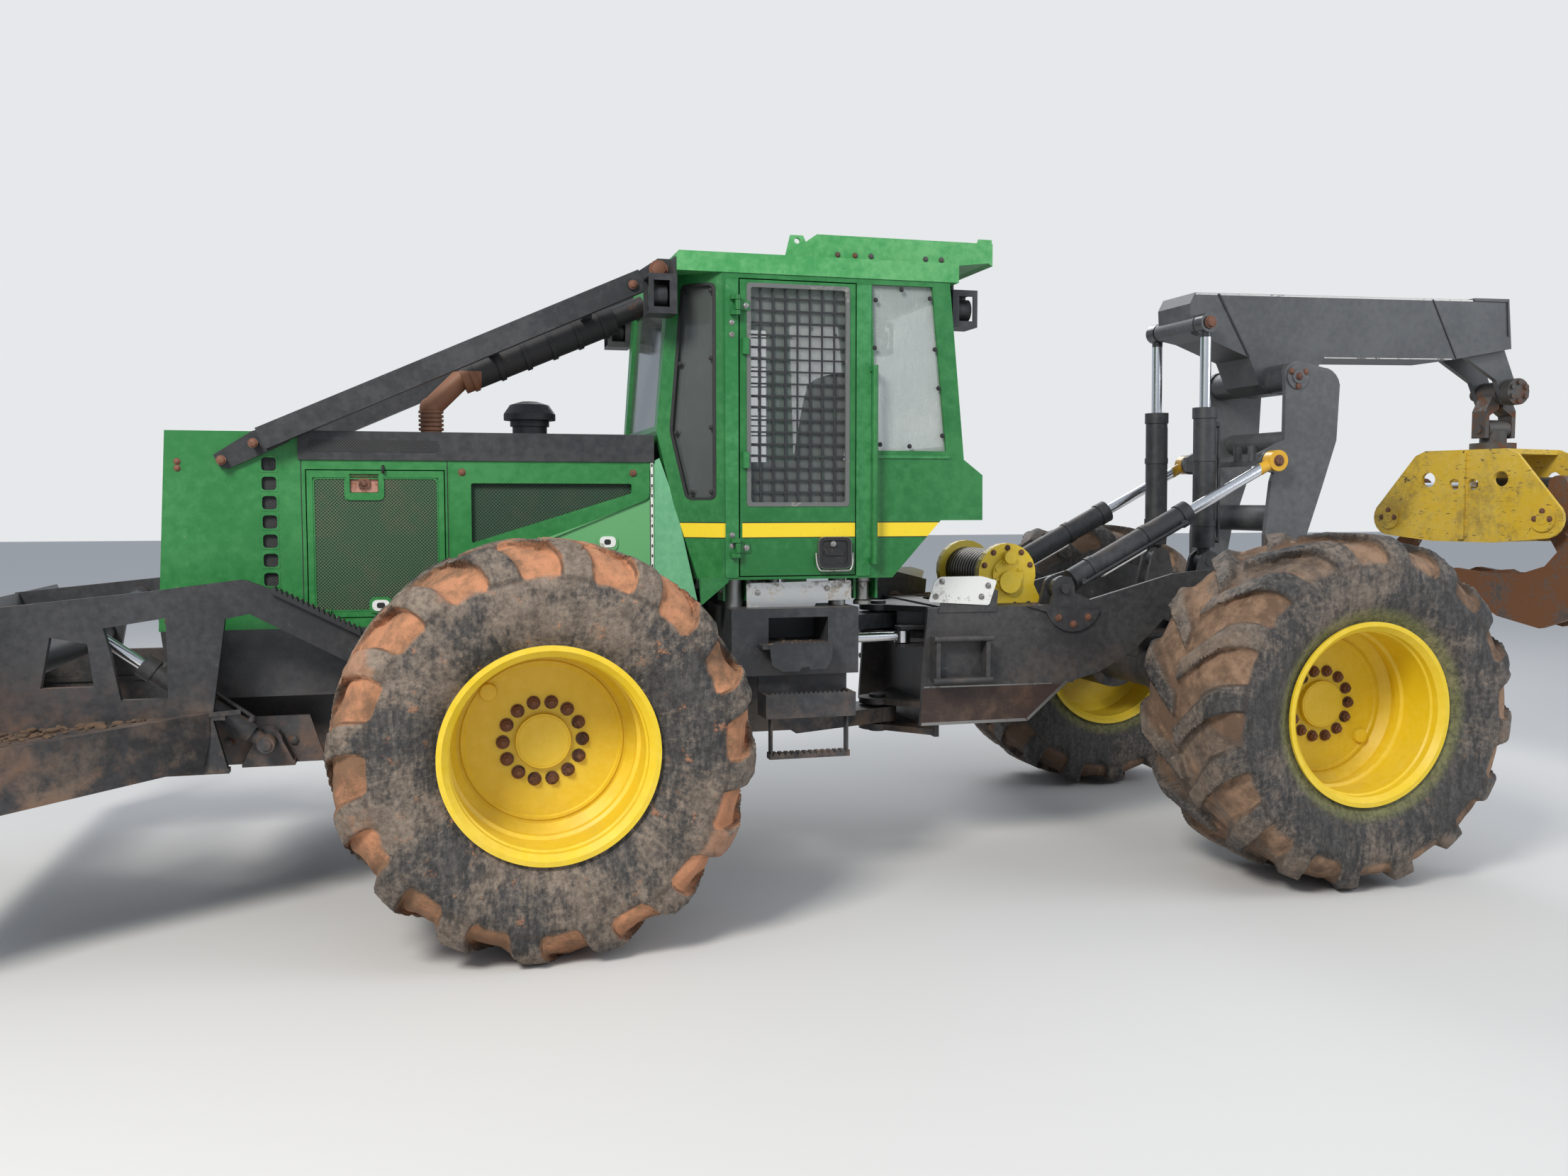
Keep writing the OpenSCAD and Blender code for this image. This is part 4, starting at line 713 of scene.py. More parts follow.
def quads(rows: int, columns: int, wrap_rows: bool = False, wrap_columns: bool = False) -> Array:
    """Corner numbers of the faces of a grid of points, row by row.

    Args:
        rows: points along the first parameter.
        columns: points along the second.
        wrap_rows: joins the last row to the first.
        wrap_columns: joins the last column to the first.

    Returns:
        An array of four corner numbers for each face.
    """
    i = np.arange(rows if wrap_rows else rows - 1)[:, None]
    j = np.arange(columns if wrap_columns else columns - 1)[None, :]
    i2, j2 = (i + 1) % rows, (j + 1) % columns
    corners = [i * columns + j, i2 * columns + j, i2 * columns + j2, i * columns + j2]
    return np.stack([np.broadcast_to(c, (i.shape[0], j.shape[1])).ravel() for c in corners], axis=1)


def noise_on(points: Array, scale: float, seed: int, layers: int = 3) -> Array:
    """Smooth random field at points: a sum of cosine waves in random directions, each layer finer and weaker.

    Args:
        points: places, one row each.
        scale: waves in a metre in the first layer.
        seed: the random seed.
        layers: how many layers.

    Returns:
        Values of about -1 to 1.
    """
    rng = np.random.default_rng(RANDOM_SEED + seed)
    total = np.zeros(len(points))
    weight = 0.0
    for layer in range(layers):
        waves = rng.normal(size=(9, 3)) * scale * math.pi * 2.0 ** layer
        phase = rng.uniform(0.0, 2.0 * math.pi, 9)
        total += np.cos(points @ waves.T + phase).sum(axis=1) / 3.0 * 0.6 ** layer
        weight += 0.6 ** layer
    return total / weight


class Shape:
    """Points and faces gathered from several forms, for one mesh."""

    def __init__(self, *forms: Form) -> None:
        """Starts with some forms.

        Args:
            forms: points and faces of each.
        """
        self.points: list[Array] = []
        self.faces: list[list[int]] = []
        self.count = 0
        self.add(*forms)

    def add(self, *forms: Form) -> "Shape":
        """Adds forms.

        Args:
            forms: points, one row each, and corner numbers of the faces.

        Returns:
            This shape.
        """
        for points, faces in forms:
            self.faces += [[corner + self.count for corner in face] for face in faces]
            self.points.append(points)
            self.count += len(points)
        return self

    def across(self) -> Form:
        """The other side's twin of it all, with Y turned round and its faces kept outwards."""
        return np.concatenate(self.points) * MIRROR, [face[::-1] for face in self.faces]

    def mirrored(self) -> "Shape":
        """Adds the other side's twin."""
        return self.add(self.across())

    def piece(self, name: str, body: Body | str, finish: Finish, slot: str, smooth: float = 40.0,
              fields: dict[str, Array] | None = None) -> bpy.types.Object:
        """Makes the object, which rides on a body.

        Args:
            name: the object's name.
            body: what it moves with.
            finish: what it looks like.
            slot: the record's slot that the finish stands for; not used.
            smooth: edges flatter than this many degrees are shaded smooth.
            fields: numbers for each point, by name, that the material reads.

        Returns:
            The new object.
        """
        mesh = bpy.data.meshes.new(name)
        mesh.from_pydata(np.concatenate(self.points).tolist(), [], self.faces)
        mesh.validate()
        mesh.materials.append(material_of(finish))
        mesh.polygons.foreach_set("use_smooth", [True] * len(mesh.polygons))
        mesh.set_sharp_from_angle(angle=math.radians(smooth))
        for field_name, values in (fields or {}).items():
            mesh.attributes.new(field_name, "FLOAT", "POINT").data.foreach_set("value", values.astype(np.float32))
        mesh.update()
        obj = bpy.data.objects.new(name, mesh)
        bpy.context.scene.collection.objects.link(obj)
        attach(obj, body.value if isinstance(body, Body) else body)
        log.info("made %s: %d faces", name, len(mesh.polygons))
        return obj


def pair(name: str, body: Body, finish: Finish, slot: str, *forms: Form) -> None:
    """Makes one piece of forms drawn on the left side and their twins on the right.

    Args:
        name: the piece's name.
        body: what it moves with.
        finish: what it looks like.
        slot: the record's slot.
        forms: what it's made of.
    """
    Shape(*forms).mirrored().piece(name, body, finish, slot)


def dress_doors(door: str, rows: Iterable[tuple[str, Finish, str, Iterable[Form]]]) -> None:
    """Makes pieces on both doors of a kind, drawn on the left one.

    Args:
        door: how the doors' names in Body start.
        rows: for each piece its name, finish, slot and forms.
    """
    for side in Side:
        for name, finish, slot, forms in rows:
            shape = Shape(*forms)
            shape = shape if side is Side.LEFT else Shape(shape.across())
            shape.piece(f"{name}_{side.name.lower()}", Body[f"{door}_{side.name}"], finish, slot)


def frame_for(way: Point) -> Array:
    """Unit vectors for a form that is drawn about Z.

    Args:
        way: where its Z is to point, of any length.

    Returns:
        Two vectors across the direction and the direction itself, as rows.
    """
    along = np.asarray(way, float) / np.linalg.norm(way)
    side = np.cross([1.0, 0.0, 0.0] if abs(along[2]) > 0.9 else [0.0, 0.0, 1.0], along)
    side /= np.linalg.norm(side)
    return np.stack([side, np.cross(along, side), along])


def box_form(low: Point, high: Point) -> Form:
    """A block.

    Args:
        low: the corner with the least coordinates.
        high: the corner opposite.

    Returns:
        Its points and faces.
    """
    x, y, z = (np.array([low[i], high[i]]) for i in range(3))
    points = np.stack(np.meshgrid(x, y, z, indexing="ij"), axis=-1).reshape(-1, 3)
    return points, [[0, 1, 3, 2], [4, 6, 7, 5], [0, 4, 5, 1], [2, 3, 7, 6], [0, 2, 6, 4], [1, 5, 7, 3]]


def bolt_form(radius: float, height: float, sides: int = 6, washer: float = 1.35) -> Form:
    """A bolt head standing on a thin round washer: rings of points at growing heights, and a flat top.

    Args:
        radius: half the width over the head's corners.
        height: of the head.
        sides: of the head.
        washer: the washer's radius, in head radii.

    Returns:
        Its points and faces.
    """
    rings = [(radius * washer, -0.001), (radius * washer, height * 0.22), (radius * 1.02, height * 0.24),
             (radius, height * 0.9), (radius * 0.86, height)]
    angle = np.arange(12) * math.pi / 6.0
    corner = math.cos(math.pi / sides) / np.cos((angle % (2 * math.pi / sides)) - math.pi / sides)
    points = []
    for number, (r, z) in enumerate(rings):
        reach = r * (corner if number >= 2 else np.ones(12))
        points.append(np.stack([reach * np.cos(angle), reach * np.sin(angle), np.full(12, z)], axis=1))
    return np.concatenate(points), quads_out(5, 12) + [list(range(48, 60))]


def quads_out(rows: int, columns: int) -> list[list[int]]:
    """Faces of stacked rings that run anticlockwise upwards, facing outwards."""
    return quads(rows, columns, wrap_columns=True)[:, [0, 3, 2, 1]].tolist()


def path_frames(path: Array) -> tuple[Array, Array, Array]:
    """Directions along a path and two across it, carried along so that they don't spin.

    Args:
        path: points, one row each.

    Returns:
        Unit vectors along, and two across.
    """
    along = np.gradient(path, axis=0)
    along /= np.linalg.norm(along, axis=1, keepdims=True)
    side = np.zeros_like(path)
    start = np.array([0.0, 0.0, 1.0]) if abs(along[0, 2]) < 0.9 else np.array([1.0, 0.0, 0.0])
    side[0] = np.cross(start, along[0])
    side[0] /= np.linalg.norm(side[0])
    for i in range(1, len(path)):
        v = side[i - 1] - along[i] * np.dot(side[i - 1], along[i])
        side[i] = v / np.linalg.norm(v)
    return along, side, np.cross(along, side)


def tube_form(path: Array, radius: float, sides: int = 12) -> Form:
    """A round bar along a path: a circle at each point, across the path, with flat ends.

    Args:
        path: points, one row each.
        radius: of the circles.
        sides: points round a circle.

    Returns:
        Its points and faces.
    """
    _, side, up = path_frames(path)
    angle = np.arange(sides) * 2.0 * math.pi / sides
    ring = (side[:, None, :] * (np.cos(angle) * radius)[:, None] + up[:, None, :] * (np.sin(angle) * radius)[:, None])
    points = (path[:, None, :] + ring).reshape(-1, 3)
    last = (len(path) - 1) * sides
    return points, quads_out(len(path), sides) + [list(range(sides))[::-1], list(range(last, last + sides))]


def curve_through(points: Sequence[Point], steps: int = 8) -> Array:
    """A smooth path through points, by Catmull-Rom pieces.

    Args:
        points: the points it passes.
        steps: path points for each piece.

    Returns:
        The path.
    """
    p = np.asarray(points, float)
    p = np.vstack([2 * p[0] - p[1], p, 2 * p[-1] - p[-2]])
    t = np.linspace(0.0, 1.0, steps, endpoint=False)[:, None]
    parts = []
    for a, b, c, d in zip(p[:-3], p[1:-2], p[2:-1], p[3:]):
        parts.append(0.5 * (2 * b + (c - a) * t + (2 * a - 5 * b + 4 * c - d) * t ** 2
                            + (3 * b - a - 3 * c + d) * t ** 3))
    return np.vstack(parts + [p[-2:-1]])


def outwards(points: Array, faces: Iterable[Sequence[int]]) -> Form:
    """A closed form with its faces turned outwards, found from the sign of its volume.

    Args:
        points: its points.
        faces: its faces, all turned alike.

    Returns:
        The points and the faces.
    """
    faces = [list(face) for face in faces]
    volume = sum(float(np.dot(points[f[0]], np.cross(points[f[i]], points[f[i + 1]])))
                 for f in faces for i in range(1, len(f) - 1))
    return points, faces if volume > 0 else [face[::-1] for face in faces]


def rounded(outline: Outline, radius: float, steps: int = 5) -> Array:
    """An outline whose corners p become p + radius * ((1 - t)^2 * u + t^2 * v) along its two edges u and v.

    Args:
        outline: corners.
        radius: how far from a corner its curve starts.
        steps: pieces of each curve.

    Returns:
        The finer outline.
    """
    p = np.asarray(outline, float)
    u, v = np.roll(p, 1, axis=0) - p, np.roll(p, -1, axis=0) - p
    u /= np.linalg.norm(u, axis=1, keepdims=True)
    v /= np.linalg.norm(v, axis=1, keepdims=True)
    t = np.linspace(0.0, 1.0, steps + 1)[None, :, None]
    return (p[:, None] + radius * (u[:, None] * (1.0 - t) ** 2 + v[:, None] * t ** 2)).reshape(-1, 2)


def grown(outline: Outline, amount: float) -> Array:
    """An outline with every edge moved outwards.

    Args:
        outline: its corners.
        amount: how far, below 0 to move them inwards.

    Returns:
        The new corners, anticlockwise.
    """
    p = np.asarray(outline, float)
    area = np.sum(p[:, 0] * np.roll(p[:, 1], -1) - p[:, 1] * np.roll(p[:, 0], -1))
    p = p if area > 0 else p[::-1]
    u, v = p - np.roll(p, 1, axis=0), np.roll(p, -1, axis=0) - p
    u /= np.linalg.norm(u, axis=1, keepdims=True)
    v /= np.linalg.norm(v, axis=1, keepdims=True)
    m, n = np.stack([u[:, 1], -u[:, 0]], axis=1), np.stack([v[:, 1], -v[:, 0]], axis=1)
    return p + amount * (m + n) / (1.0 + np.sum(m * n, axis=1, keepdims=True))


def plate_form(outline: Outline, low: float, high: float, axes: tuple[int, int, int] = (0, 2, 1)) -> Form:
    """A flat outline carried straight along an axis, across Y by default.

    Args:
        outline: its corners.
        low: where it starts.
        high: where it ends.
        axes: the outline's two axes, then the one that it's carried along.

    Returns:
        Its points and faces.
    """
    flat = np.asarray(outline, float)
    n = len(flat)
    points = np.zeros((2 * n, 3))
    points[:, axes[0]], points[:, axes[1]] = np.tile(flat, (2, 1)).T
    points[:n, axes[2]], points[n:, axes[2]] = low, high
    return outwards(points, quads_out(2, n) + [list(range(n))[::-1], list(range(n, 2 * n))])


def ring_form(outer: Array, inner: Array, low: float, high: float) -> Form:
    """A flat frame between two X-Z outlines of as many points.

    Args:
        outer: its outside.
        inner: the edge of its opening.
        low: where it starts in Y.
        high: where it ends.

    Returns:
        Its points and faces.
    """
    n = len(outer)
    loops = [(outer, high), (inner, high), (inner, low), (outer, low)]
    points = np.concatenate([np.stack([flat[:, 0], np.full(n, y), flat[:, 1]], axis=1) for flat, y in loops])
    return outwards(points, quads(4, n, True, True).tolist())


def lathe_form(profile: Outline, sides: int = 24, closed: bool = False) -> Form:
    """A form turned about Z: each (radius, height) of the profile becomes a ring.

    Args:
        profile: the radii and heights.
        sides: points of a ring.
        closed: True joins the last ring to the first; otherwise both ends get a flat face.

    Returns:
        Its points and faces.
    """
    angle = np.arange(sides) * 2.0 * math.pi / sides
    rows = np.asarray(profile, float)
    points = np.stack([rows[:, :1] * np.cos(angle), rows[:, :1] * np.sin(angle),
                       np.broadcast_to(rows[:, 1:], (len(rows), sides))], axis=-1).reshape(-1, 3)
    faces = quads(len(rows), sides, closed, True).tolist()
    if not closed:
        last = (len(rows) - 1) * sides
        faces += [list(range(sides)), list(range(last, last + sides))[::-1]]
    return outwards(points, faces)


def soft_rect(x0: float, z0: float, x1: float, z1: float, radius: float, steps: int = 5) -> Array:
    """A rectangle with rounded corners."""
    return rounded(rect(x0, z0, x1, z1), radius, steps)


def rect(x0: float, z0: float, x1: float, z1: float) -> list[Spot]:
    """The corners of a rectangle, anticlockwise."""
    return [(x0, z0), (x1, z0), (x1, z1), (x0, z1)]


def turned(form: Form, place: Point, way: Point) -> Form:
    """A form drawn about Z, moved to a place and turned so that its Z points a way.

    Args:
        form: points and faces.
        place: where its origin goes.
        way: the direction of its Z.

    Returns:
        The moved points, and the faces.
    """
    return form[0] @ frame_for(way) + np.asarray(place), form[1]


def ring_seats(centre: Point, radius: float, degrees: Iterable[float]) -> list[Point]:
    """Places on an upright circle about a centre, at some angles from +X."""
    x, y, z = centre
    return [(x + radius * math.cos(a), y, z + radius * math.sin(a)) for a in np.radians(degrees)]


def on_slant(form: Form) -> Form:
    """A form sheared in Y onto the cab's slanted front quarter, which starts at its front post."""
    return form[0] + (form[0][:, :1] - SLANT_X) * SLANT * np.array(UP_Y), form[1]


def toothed(x0: float, x1: float, z: float, pitch: float, height: float) -> list[Spot]:
    """A saw-toothed edge.

    Args:
        x0: where it starts.
        x1: where it ends.
        z: height of the valleys.
        pitch: from tooth to tooth.
        height: of a tooth.

    Returns:
        The edge's corners.
    """
    count = int(abs(x1 - x0) / pitch)
    x = np.linspace(x0, x1, 2 * count + 1)
    return [(px, z + (height if k % 2 else 0.0)) for k, px in enumerate(x)]


def pillow_form(low: Point, high: Point, power: float = 0.4, rows: int = 18, columns: int = 36) -> Form:
    """A stuffed block: the super-ellipsoid with half sizes h, x = h * sgn(c) |c|^power of the sphere's cosines.

    Args:
        low: one corner of its box.
        high: the other corner.
        power: 1 gives an ellipsoid, towards 0 a block.
        rows: rings between the poles.
        columns: points of a ring.

    Returns:
        Its points and faces.
    """
    v = np.linspace(-math.pi / 2, math.pi / 2, rows + 2)[1:-1, None]
    u = np.arange(columns)[None, :] * 2.0 * math.pi / columns

    def bent(value: Array) -> Array:
        """A cosine or sine raised to the power, with its sign kept."""
        return np.sign(value) * np.abs(value) ** power

    ring = np.stack([bent(np.cos(v)) * bent(np.cos(u)), bent(np.cos(v)) * bent(np.sin(u)),
                     np.broadcast_to(bent(np.sin(v)), (rows, columns))], axis=-1).reshape(-1, 3)
    points = np.concatenate([ring, [[0.0, 0.0, -1.0], [0.0, 0.0, 1.0]]])
    n = rows * columns
    faces = quads_out(rows, columns)
    for j in range(columns):
        k = (j + 1) % columns
        faces += [[n, k, j], [n + 1, n - columns + j, n - columns + k]]
    low, high = np.asarray(low), np.asarray(high)
    return points * (high - low) / 2.0 + (high + low) / 2.0, faces


def step_between(value: Array, low: float, high: float) -> Array:
    """Smooth step of an array from 0 at low to 1 at high."""
    t = np.clip((value - low) / (high - low), 0.0, 1.0)
    return t * t * (3.0 - 2.0 * t)


# ---- the studio --------------------------------------------------------------------------


@dataclass
class Studio:
    """Pale floor, soft lamps and the camera where the photo was taken from."""

    eye: Point = (2.375, 6.731, 1.860)
    yaw_deg: float = 15.35
    pitch_deg: float = 3.80
    lens_mm: float = 30.16
    sensor_mm: float = 36.0
    floor_half: float = 60.0
    floor_colour: Colour = (0.60, 0.59, 0.575)

    def camera(self) -> None:
        """Sets the camera: it looks along -Y, turned by yaw and tipped down by pitch."""
        data = bpy.data.cameras.new("photo_camera")
        data.lens = self.lens_mm
        data.sensor_width = self.sensor_mm
        data.clip_end = 500.0
        camera = bpy.data.objects.new("photo_camera", data)
        yaw, pitch = math.radians(self.yaw_deg), math.radians(self.pitch_deg)
        look = Vector((-math.sin(yaw) * math.cos(pitch), -math.cos(yaw) * math.cos(pitch), -math.sin(pitch)))
        camera.location = self.eye
        camera.rotation_euler = look.to_track_quat("-Z", "Y").to_euler()
        bpy.context.scene.collection.objects.link(camera)
        bpy.context.scene.camera = camera

    def floor(self) -> None:
        """Lays the floor."""
        h = self.floor_half
        mesh = bpy.data.meshes.new("floor")
        mesh.from_pydata([(-h, -h, 0), (h, -h, 0), (h, h, 0), (-h, h, 0)], [], [(0, 1, 2, 3)])
        floor = bpy.data.objects.new("floor", mesh)
        bpy.context.scene.collection.objects.link(floor)
        g = Graph("floor_paint")
        g.set(Base_Color=self.floor_colour, Roughness=0.9)
        mesh.materials.append(g.material)

    def lamps(self) -> None:
        """Hangs a soft key lamp, a fill and a rim lamp, and a pale world."""
        world = bpy.data.worlds.new("pale_sky")
        bpy.context.scene.world = world
        world.use_nodes = True
        nodes, links = world.node_tree.nodes, world.node_tree.links
        nodes.clear()
        mix = nodes.new("ShaderNodeMixShader")
        # the first background lights the machine, the second is what the camera sees
        for number, colour, strength in ((1, (0.80, 0.88, 1.0), 0.62), (2, (0.90, 0.92, 0.94), 0.88)):
            sky = nodes.new("ShaderNodeBackground")
            sky.inputs["Color"].default_value = (*colour, 1.0)
            sky.inputs["Strength"].default_value = strength
            links.new(sky.outputs[0], mix.inputs[number])
        links.new(nodes.new("ShaderNodeLightPath").outputs["Is Camera Ray"], mix.inputs[0])
        links.new(mix.outputs[0], nodes.new("ShaderNodeOutputWorld").inputs["Surface"])
        for name, place, size, watts, tint in (
                ("key_lamp", (7.0, 7.5, 8.5), 3.0, 1280.0, (1.0, 0.97, 0.92)),
                ("fill_lamp", (-8.0, 6.0, 6.0), 6.0, 360.0, (0.92, 0.96, 1.0)),
                ("rim_lamp", (-2.0, -9.0, 8.0), 6.0, 520.0, (1.0, 1.0, 1.0))):
            data = bpy.data.lights.new(name, "AREA")
            data.size = size
            data.energy = watts
            data.color = tint
            lamp = bpy.data.objects.new(name, data)
            lamp.location = place
            lamp.rotation_euler = (Vector((0.3, 0.0, 1.2)) - Vector(place)).to_track_quat("-Z", "Y").to_euler()
            bpy.context.scene.collection.objects.link(lamp)

    def build(self) -> None:
        """Sets up the whole studio."""
        bpy.context.scene.view_settings.view_transform = "Standard"
        self.camera()
        self.floor()
        self.lamps()


# ---- the machine -------------------------------------------------------------------------


@dataclass
class Machine:
    """The frame's solids, each of which gets its finish."""

    frame: dict

    def dress(self) -> None:
        """Puts one material on each solid."""
        finishes = {name: finish for finish, names in SOLIDS.items() for name in names.split()}
        for name, node in self.frame["nodes"].items():
            node.data.materials.clear()
            node.data.materials.append(material_of(finishes[name]))
            log.info("dressed %s", name)


@dataclass
class Tyre:
    """One lugged tyre round its axle, drawn as a surface over its solid.

    The places along the profile run from bead to bead; the lugs are slanted bars, one set on each half, half a
    pitch apart. Clay fills the grooves here and there and lies in lumps on the flanks.
    """

    end: str
    side: Side
    axle_x: float
    clay: float
    radius: float = WHEEL_RADIUS
    width: float = 0.770
    wheel_y: float = 1.220
    lug_height: float = 0.048
    lugs: int = 16
    slant: float = 0.70
    lug_half: float = 0.052
    groove_end: float = 0.688
    end_radius: float = 0.060
    seat: float = 0.4063
    around: int = 480
    across: int = 84

    def profile(self) -> Array:
        """The casing's section in the grooves, and the section over the lugs, from bead to bead.

        Returns:
            Rows of radius and sideways place in the grooves, then radius and place over the lugs.
        """
        half = self.width / 2.0
        low = self.radius - self.lug_height
        beads = [(self.seat, 0.300), (self.seat, 0.318), (self.seat + 0.045, 0.324), (0.490, 0.350),
                 (0.560, half - 0.007), (0.640, half - 0.001)]
        floor = [(0.700, half - 0.018), (0.745, half - 0.040), (0.778, half - 0.085), (low - 0.004, half - 0.150),
                 (low, half - 0.200), (low + 0.002, 0.0)]
        crown = [(0.700, half - 0.003), (0.748, half - 0.010), (0.800, half - 0.034), (0.836, half - 0.078),
                 (self.radius - 0.006, half - 0.130), (self.radius - 0.003, 0.0)]
        sections = []
        for outer in (floor, crown):
            ends = beads + outer
            full = [(r, -w) for r, w in ends] + [(r, w) for r, w in reversed(ends[:-1])]
            sections.append(curve_through([(r, w, 0.0) for r, w in full], 10)[:, :2])
        both = np.concatenate(sections, axis=1)
        length = np.concatenate([[0.0], np.cumsum(np.linalg.norm(np.diff(both, axis=0), axis=1))])
        even = np.linspace(0.0, length[-1], self.across)
        return np.stack([np.interp(even, length, both[:, k]) for k in range(4)])

    def surface(self) -> tuple[Array, list[list[int]], dict[str, Array]]:
        """The tyre's skin.

        Each place along the section has a point in the groove and one over the lugs; the skin goes from the first
        to the second by bar(a, place), a rounded step. A groove's middle line lies at
        a = pitch * (i + 1/2) + slant * (|w| - w0), and its end on the flank is a half circle. Random fields fill the
        grooves with clay, lay a crust with cracks on the shoulder and wear the lugs' edges.

        Returns:
            Points, faces, and the fields that the rubber reads.
        """
        r0, w0, r1, w1 = self.profile()
        a = np.linspace(0.0, 2.0 * math.pi, self.around, endpoint=False)[:, None]
        pitch = 2.0 * math.pi / self.lugs
        reach = np.abs(w1)[None, :]
        arc = pitch * self.radius
        phase = (a * self.radius - self.slant * (reach - self.width / 4.0)
                 + np.where(w1[None, :] > 0, 0.0, 0.5) * arc)
        from_lug = np.abs((phase / arc + 0.5) % 1.0 - 0.5) * arc
        lug_half = self.lug_half * (1.0 + 0.25 * step_between(reach, 0.12, 0.36))
        # half width of the groove, closed by a half circle at its end on the flank
        groove = arc / 2.0 - lug_half
        depth_in = np.clip((self.groove_end + self.end_radius - r1[None, :]) / self.end_radius, 0.0, 1.0)
        groove = groove - self.end_radius * (1.0 - np.sqrt(1.0 - depth_in ** 2)) * (r1[None, :] < 0.8)
        inside = groove - (arc / 2.0 - from_lug)
        cut = step_between(inside, -0.006, 0.016) * (r1[None, :] > self.groove_end - 0.004)
        cut = np.maximum(cut, 1.0 - step_between(reach, -0.004, 0.012)) * (r1[None, :] > self.groove_end)
        bar = 1.0 - cut
        radius = r0[None, :] * cut + r1[None, :] * bar
        place = w0[None, :] * cut + w1[None, :] * bar
        flat = np.stack([radius * np.cos(a), place, radius * np.sin(a)], axis=-1).reshape(-1, 3)
        seed = int(abs(self.axle_x) * 10) + (3 if self.side is Side.LEFT else 5) + (7 if self.axle_x > 0 else 0)
        lumps = noise_on(flat, 2.6, seed, 4).reshape(radius.shape)
        grain = noise_on(flat, 16.0, seed + 1, 3).reshape(radius.shape)
        cracks = np.abs(noise_on(flat, 7.0, seed + 2, 3).reshape(radius.shape))
        tread = step_between(r1[None, :], self.groove_end, self.groove_end + 0.05)
        fill = cut * tread * np.clip(lumps * 1.1 + 0.35, 0.0, 1.0) * self.clay
        crust = tread * bar * step_between(lumps, 0.05, 0.5) * self.clay
        flank = step_between(r1[None, :], 0.50, 0.58) * (1.0 - tread)
        push = (fill * 0.030 + crust * (grain * 0.5 + 0.5) * 0.012
                - crust * (1.0 - step_between(cracks, 0.0, 0.10)) * 0.014
                + flank * (grain * 0.6 + lumps * 0.5) * 0.0045 + bar * tread * np.minimum(grain, 0.0) * 0.006)
        dr, dw = np.gradient(r1), np.gradient(w1)
        size = np.hypot(dr, dw) + 1e-9
        radius = np.minimum(radius + (dw / size)[None, :] * push, self.radius - 0.0005)
        limit = self.width / 2.0 + 0.004
        place = np.clip(place - (dr / size)[None, :] * push * 0.8, -limit, limit)
        side = self.side.value
        points = np.stack([self.axle_x + radius * np.cos(a), side * (self.wheel_y + place),
                           self.radius + radius * np.sin(a)], axis=-1)
        faces = quads(self.around, self.across, True, True)[:, ::side].tolist()
        cake = np.clip(fill * 1.3 + cut * tread * 0.35 * self.clay, 0.0, 1.0)
        fields = {"lug": (bar * tread).ravel(), "cake": cake.ravel()}
        return points.reshape(-1, 3), faces, fields

    def build(self) -> None:
        """Makes the tyre, which stands for its solid."""
        name = f"{self.end}_{self.side.name.lower()}"
        points, faces, fields = self.surface()
        finish = FRONT_TYRE if self.axle_x > 0 else REAR_TYRE
        skin = Shape((points, faces)).piece(f"{name}_tread", f"{name}_wheel", finish, "tyre_rubber", 60.0, fields)
        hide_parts(f"{name}_tyre")


@dataclass(frozen=True)
class BoltSet:
    """Bolt heads of one size on one body, all pointing one way.

    places are their seats; twin adds the other side's heads.
    """

    name: str
    body: Body
    finish: Metal
    radius: float
    height: float
    way: Point
    places: Sequence[Point]
    twin: bool = True

    def build(self) -> None:
        """Makes the heads as one piece."""
        head = bolt_form(self.radius, self.height)
        shape = Shape(*(turned(head, place, self.way) for place in self.places))
        if self.twin:
            shape.mirrored()
        shape.piece(self.name, self.body, self.finish, "iron")


@dataclass
class RimDress:
    """Nuts, hub disc, rolled ribs and the valve's cap of one rim."""

    end: str
    side: Side
    axle_x: float
    cap: Spot
    disc_y: float = 1.187
    seat: float = 0.3965
    bolt_circle: float = 0.165
    bolts: int = 14

    def build(self) -> None:
        """Makes the pieces on this wheel."""
        name, sign = f"{self.end}_{self.side.name.lower()}", float(self.side.value)
        way, centre = (0.0, sign, 0.0), (self.axle_x, sign * self.disc_y, WHEEL_RADIUS)
        stud = lathe_form([(0.0125, 0.0), (0.0125, 0.029), (0.0105, 0.0325)], 12)
        seats = ring_seats(centre, self.bolt_circle, np.arange(self.bolts) * 360.0 / self.bolts)
        nuts = [turned(form, seat, way) for form in (bolt_form(0.0225, 0.024, washer=1.3), stud) for seat in seats]
        Shape(*nuts).piece(f"{name}_nuts", f"{name}_wheel", BOLT_RUST, "iron")
        hub = lathe_form([(0.1165, 0.0), (0.1165, 0.023), (0.114, 0.026), (0.1085, 0.026), (0.1075, 0.0245),
                          (0.1055, 0.0245), (0.1045, 0.026), (0.006, 0.026), (0.005, 0.0245)], 64)
        ribs = [lathe_form([(self.seat, y0), (self.seat, y1), (self.seat - h, y1 - 0.010), (self.seat - h, y0 + 0.010)],
                           72, True) for y0, y1, h in ((0.070, 0.125, 0.016), (0.285, 0.320, 0.009))]
        ring = lathe_form([(0.318, -0.002), (0.325, 0.007), (0.337, 0.007), (0.344, -0.002)], 72, True)
        cap = turned(lathe_form([(0.036, 0.0), (0.036, 0.018), (0.033, 0.024), (0.012, 0.026)], 28),
                     (self.axle_x + self.cap[0], centre[1], WHEEL_RADIUS + self.cap[1]), way)
        Shape(*(turned(form, centre, way) for form in (hub, *ribs, ring)), cap).piece(
            f"{name}_hub", f"{name}_wheel", YELLOW, "yellow_paint")


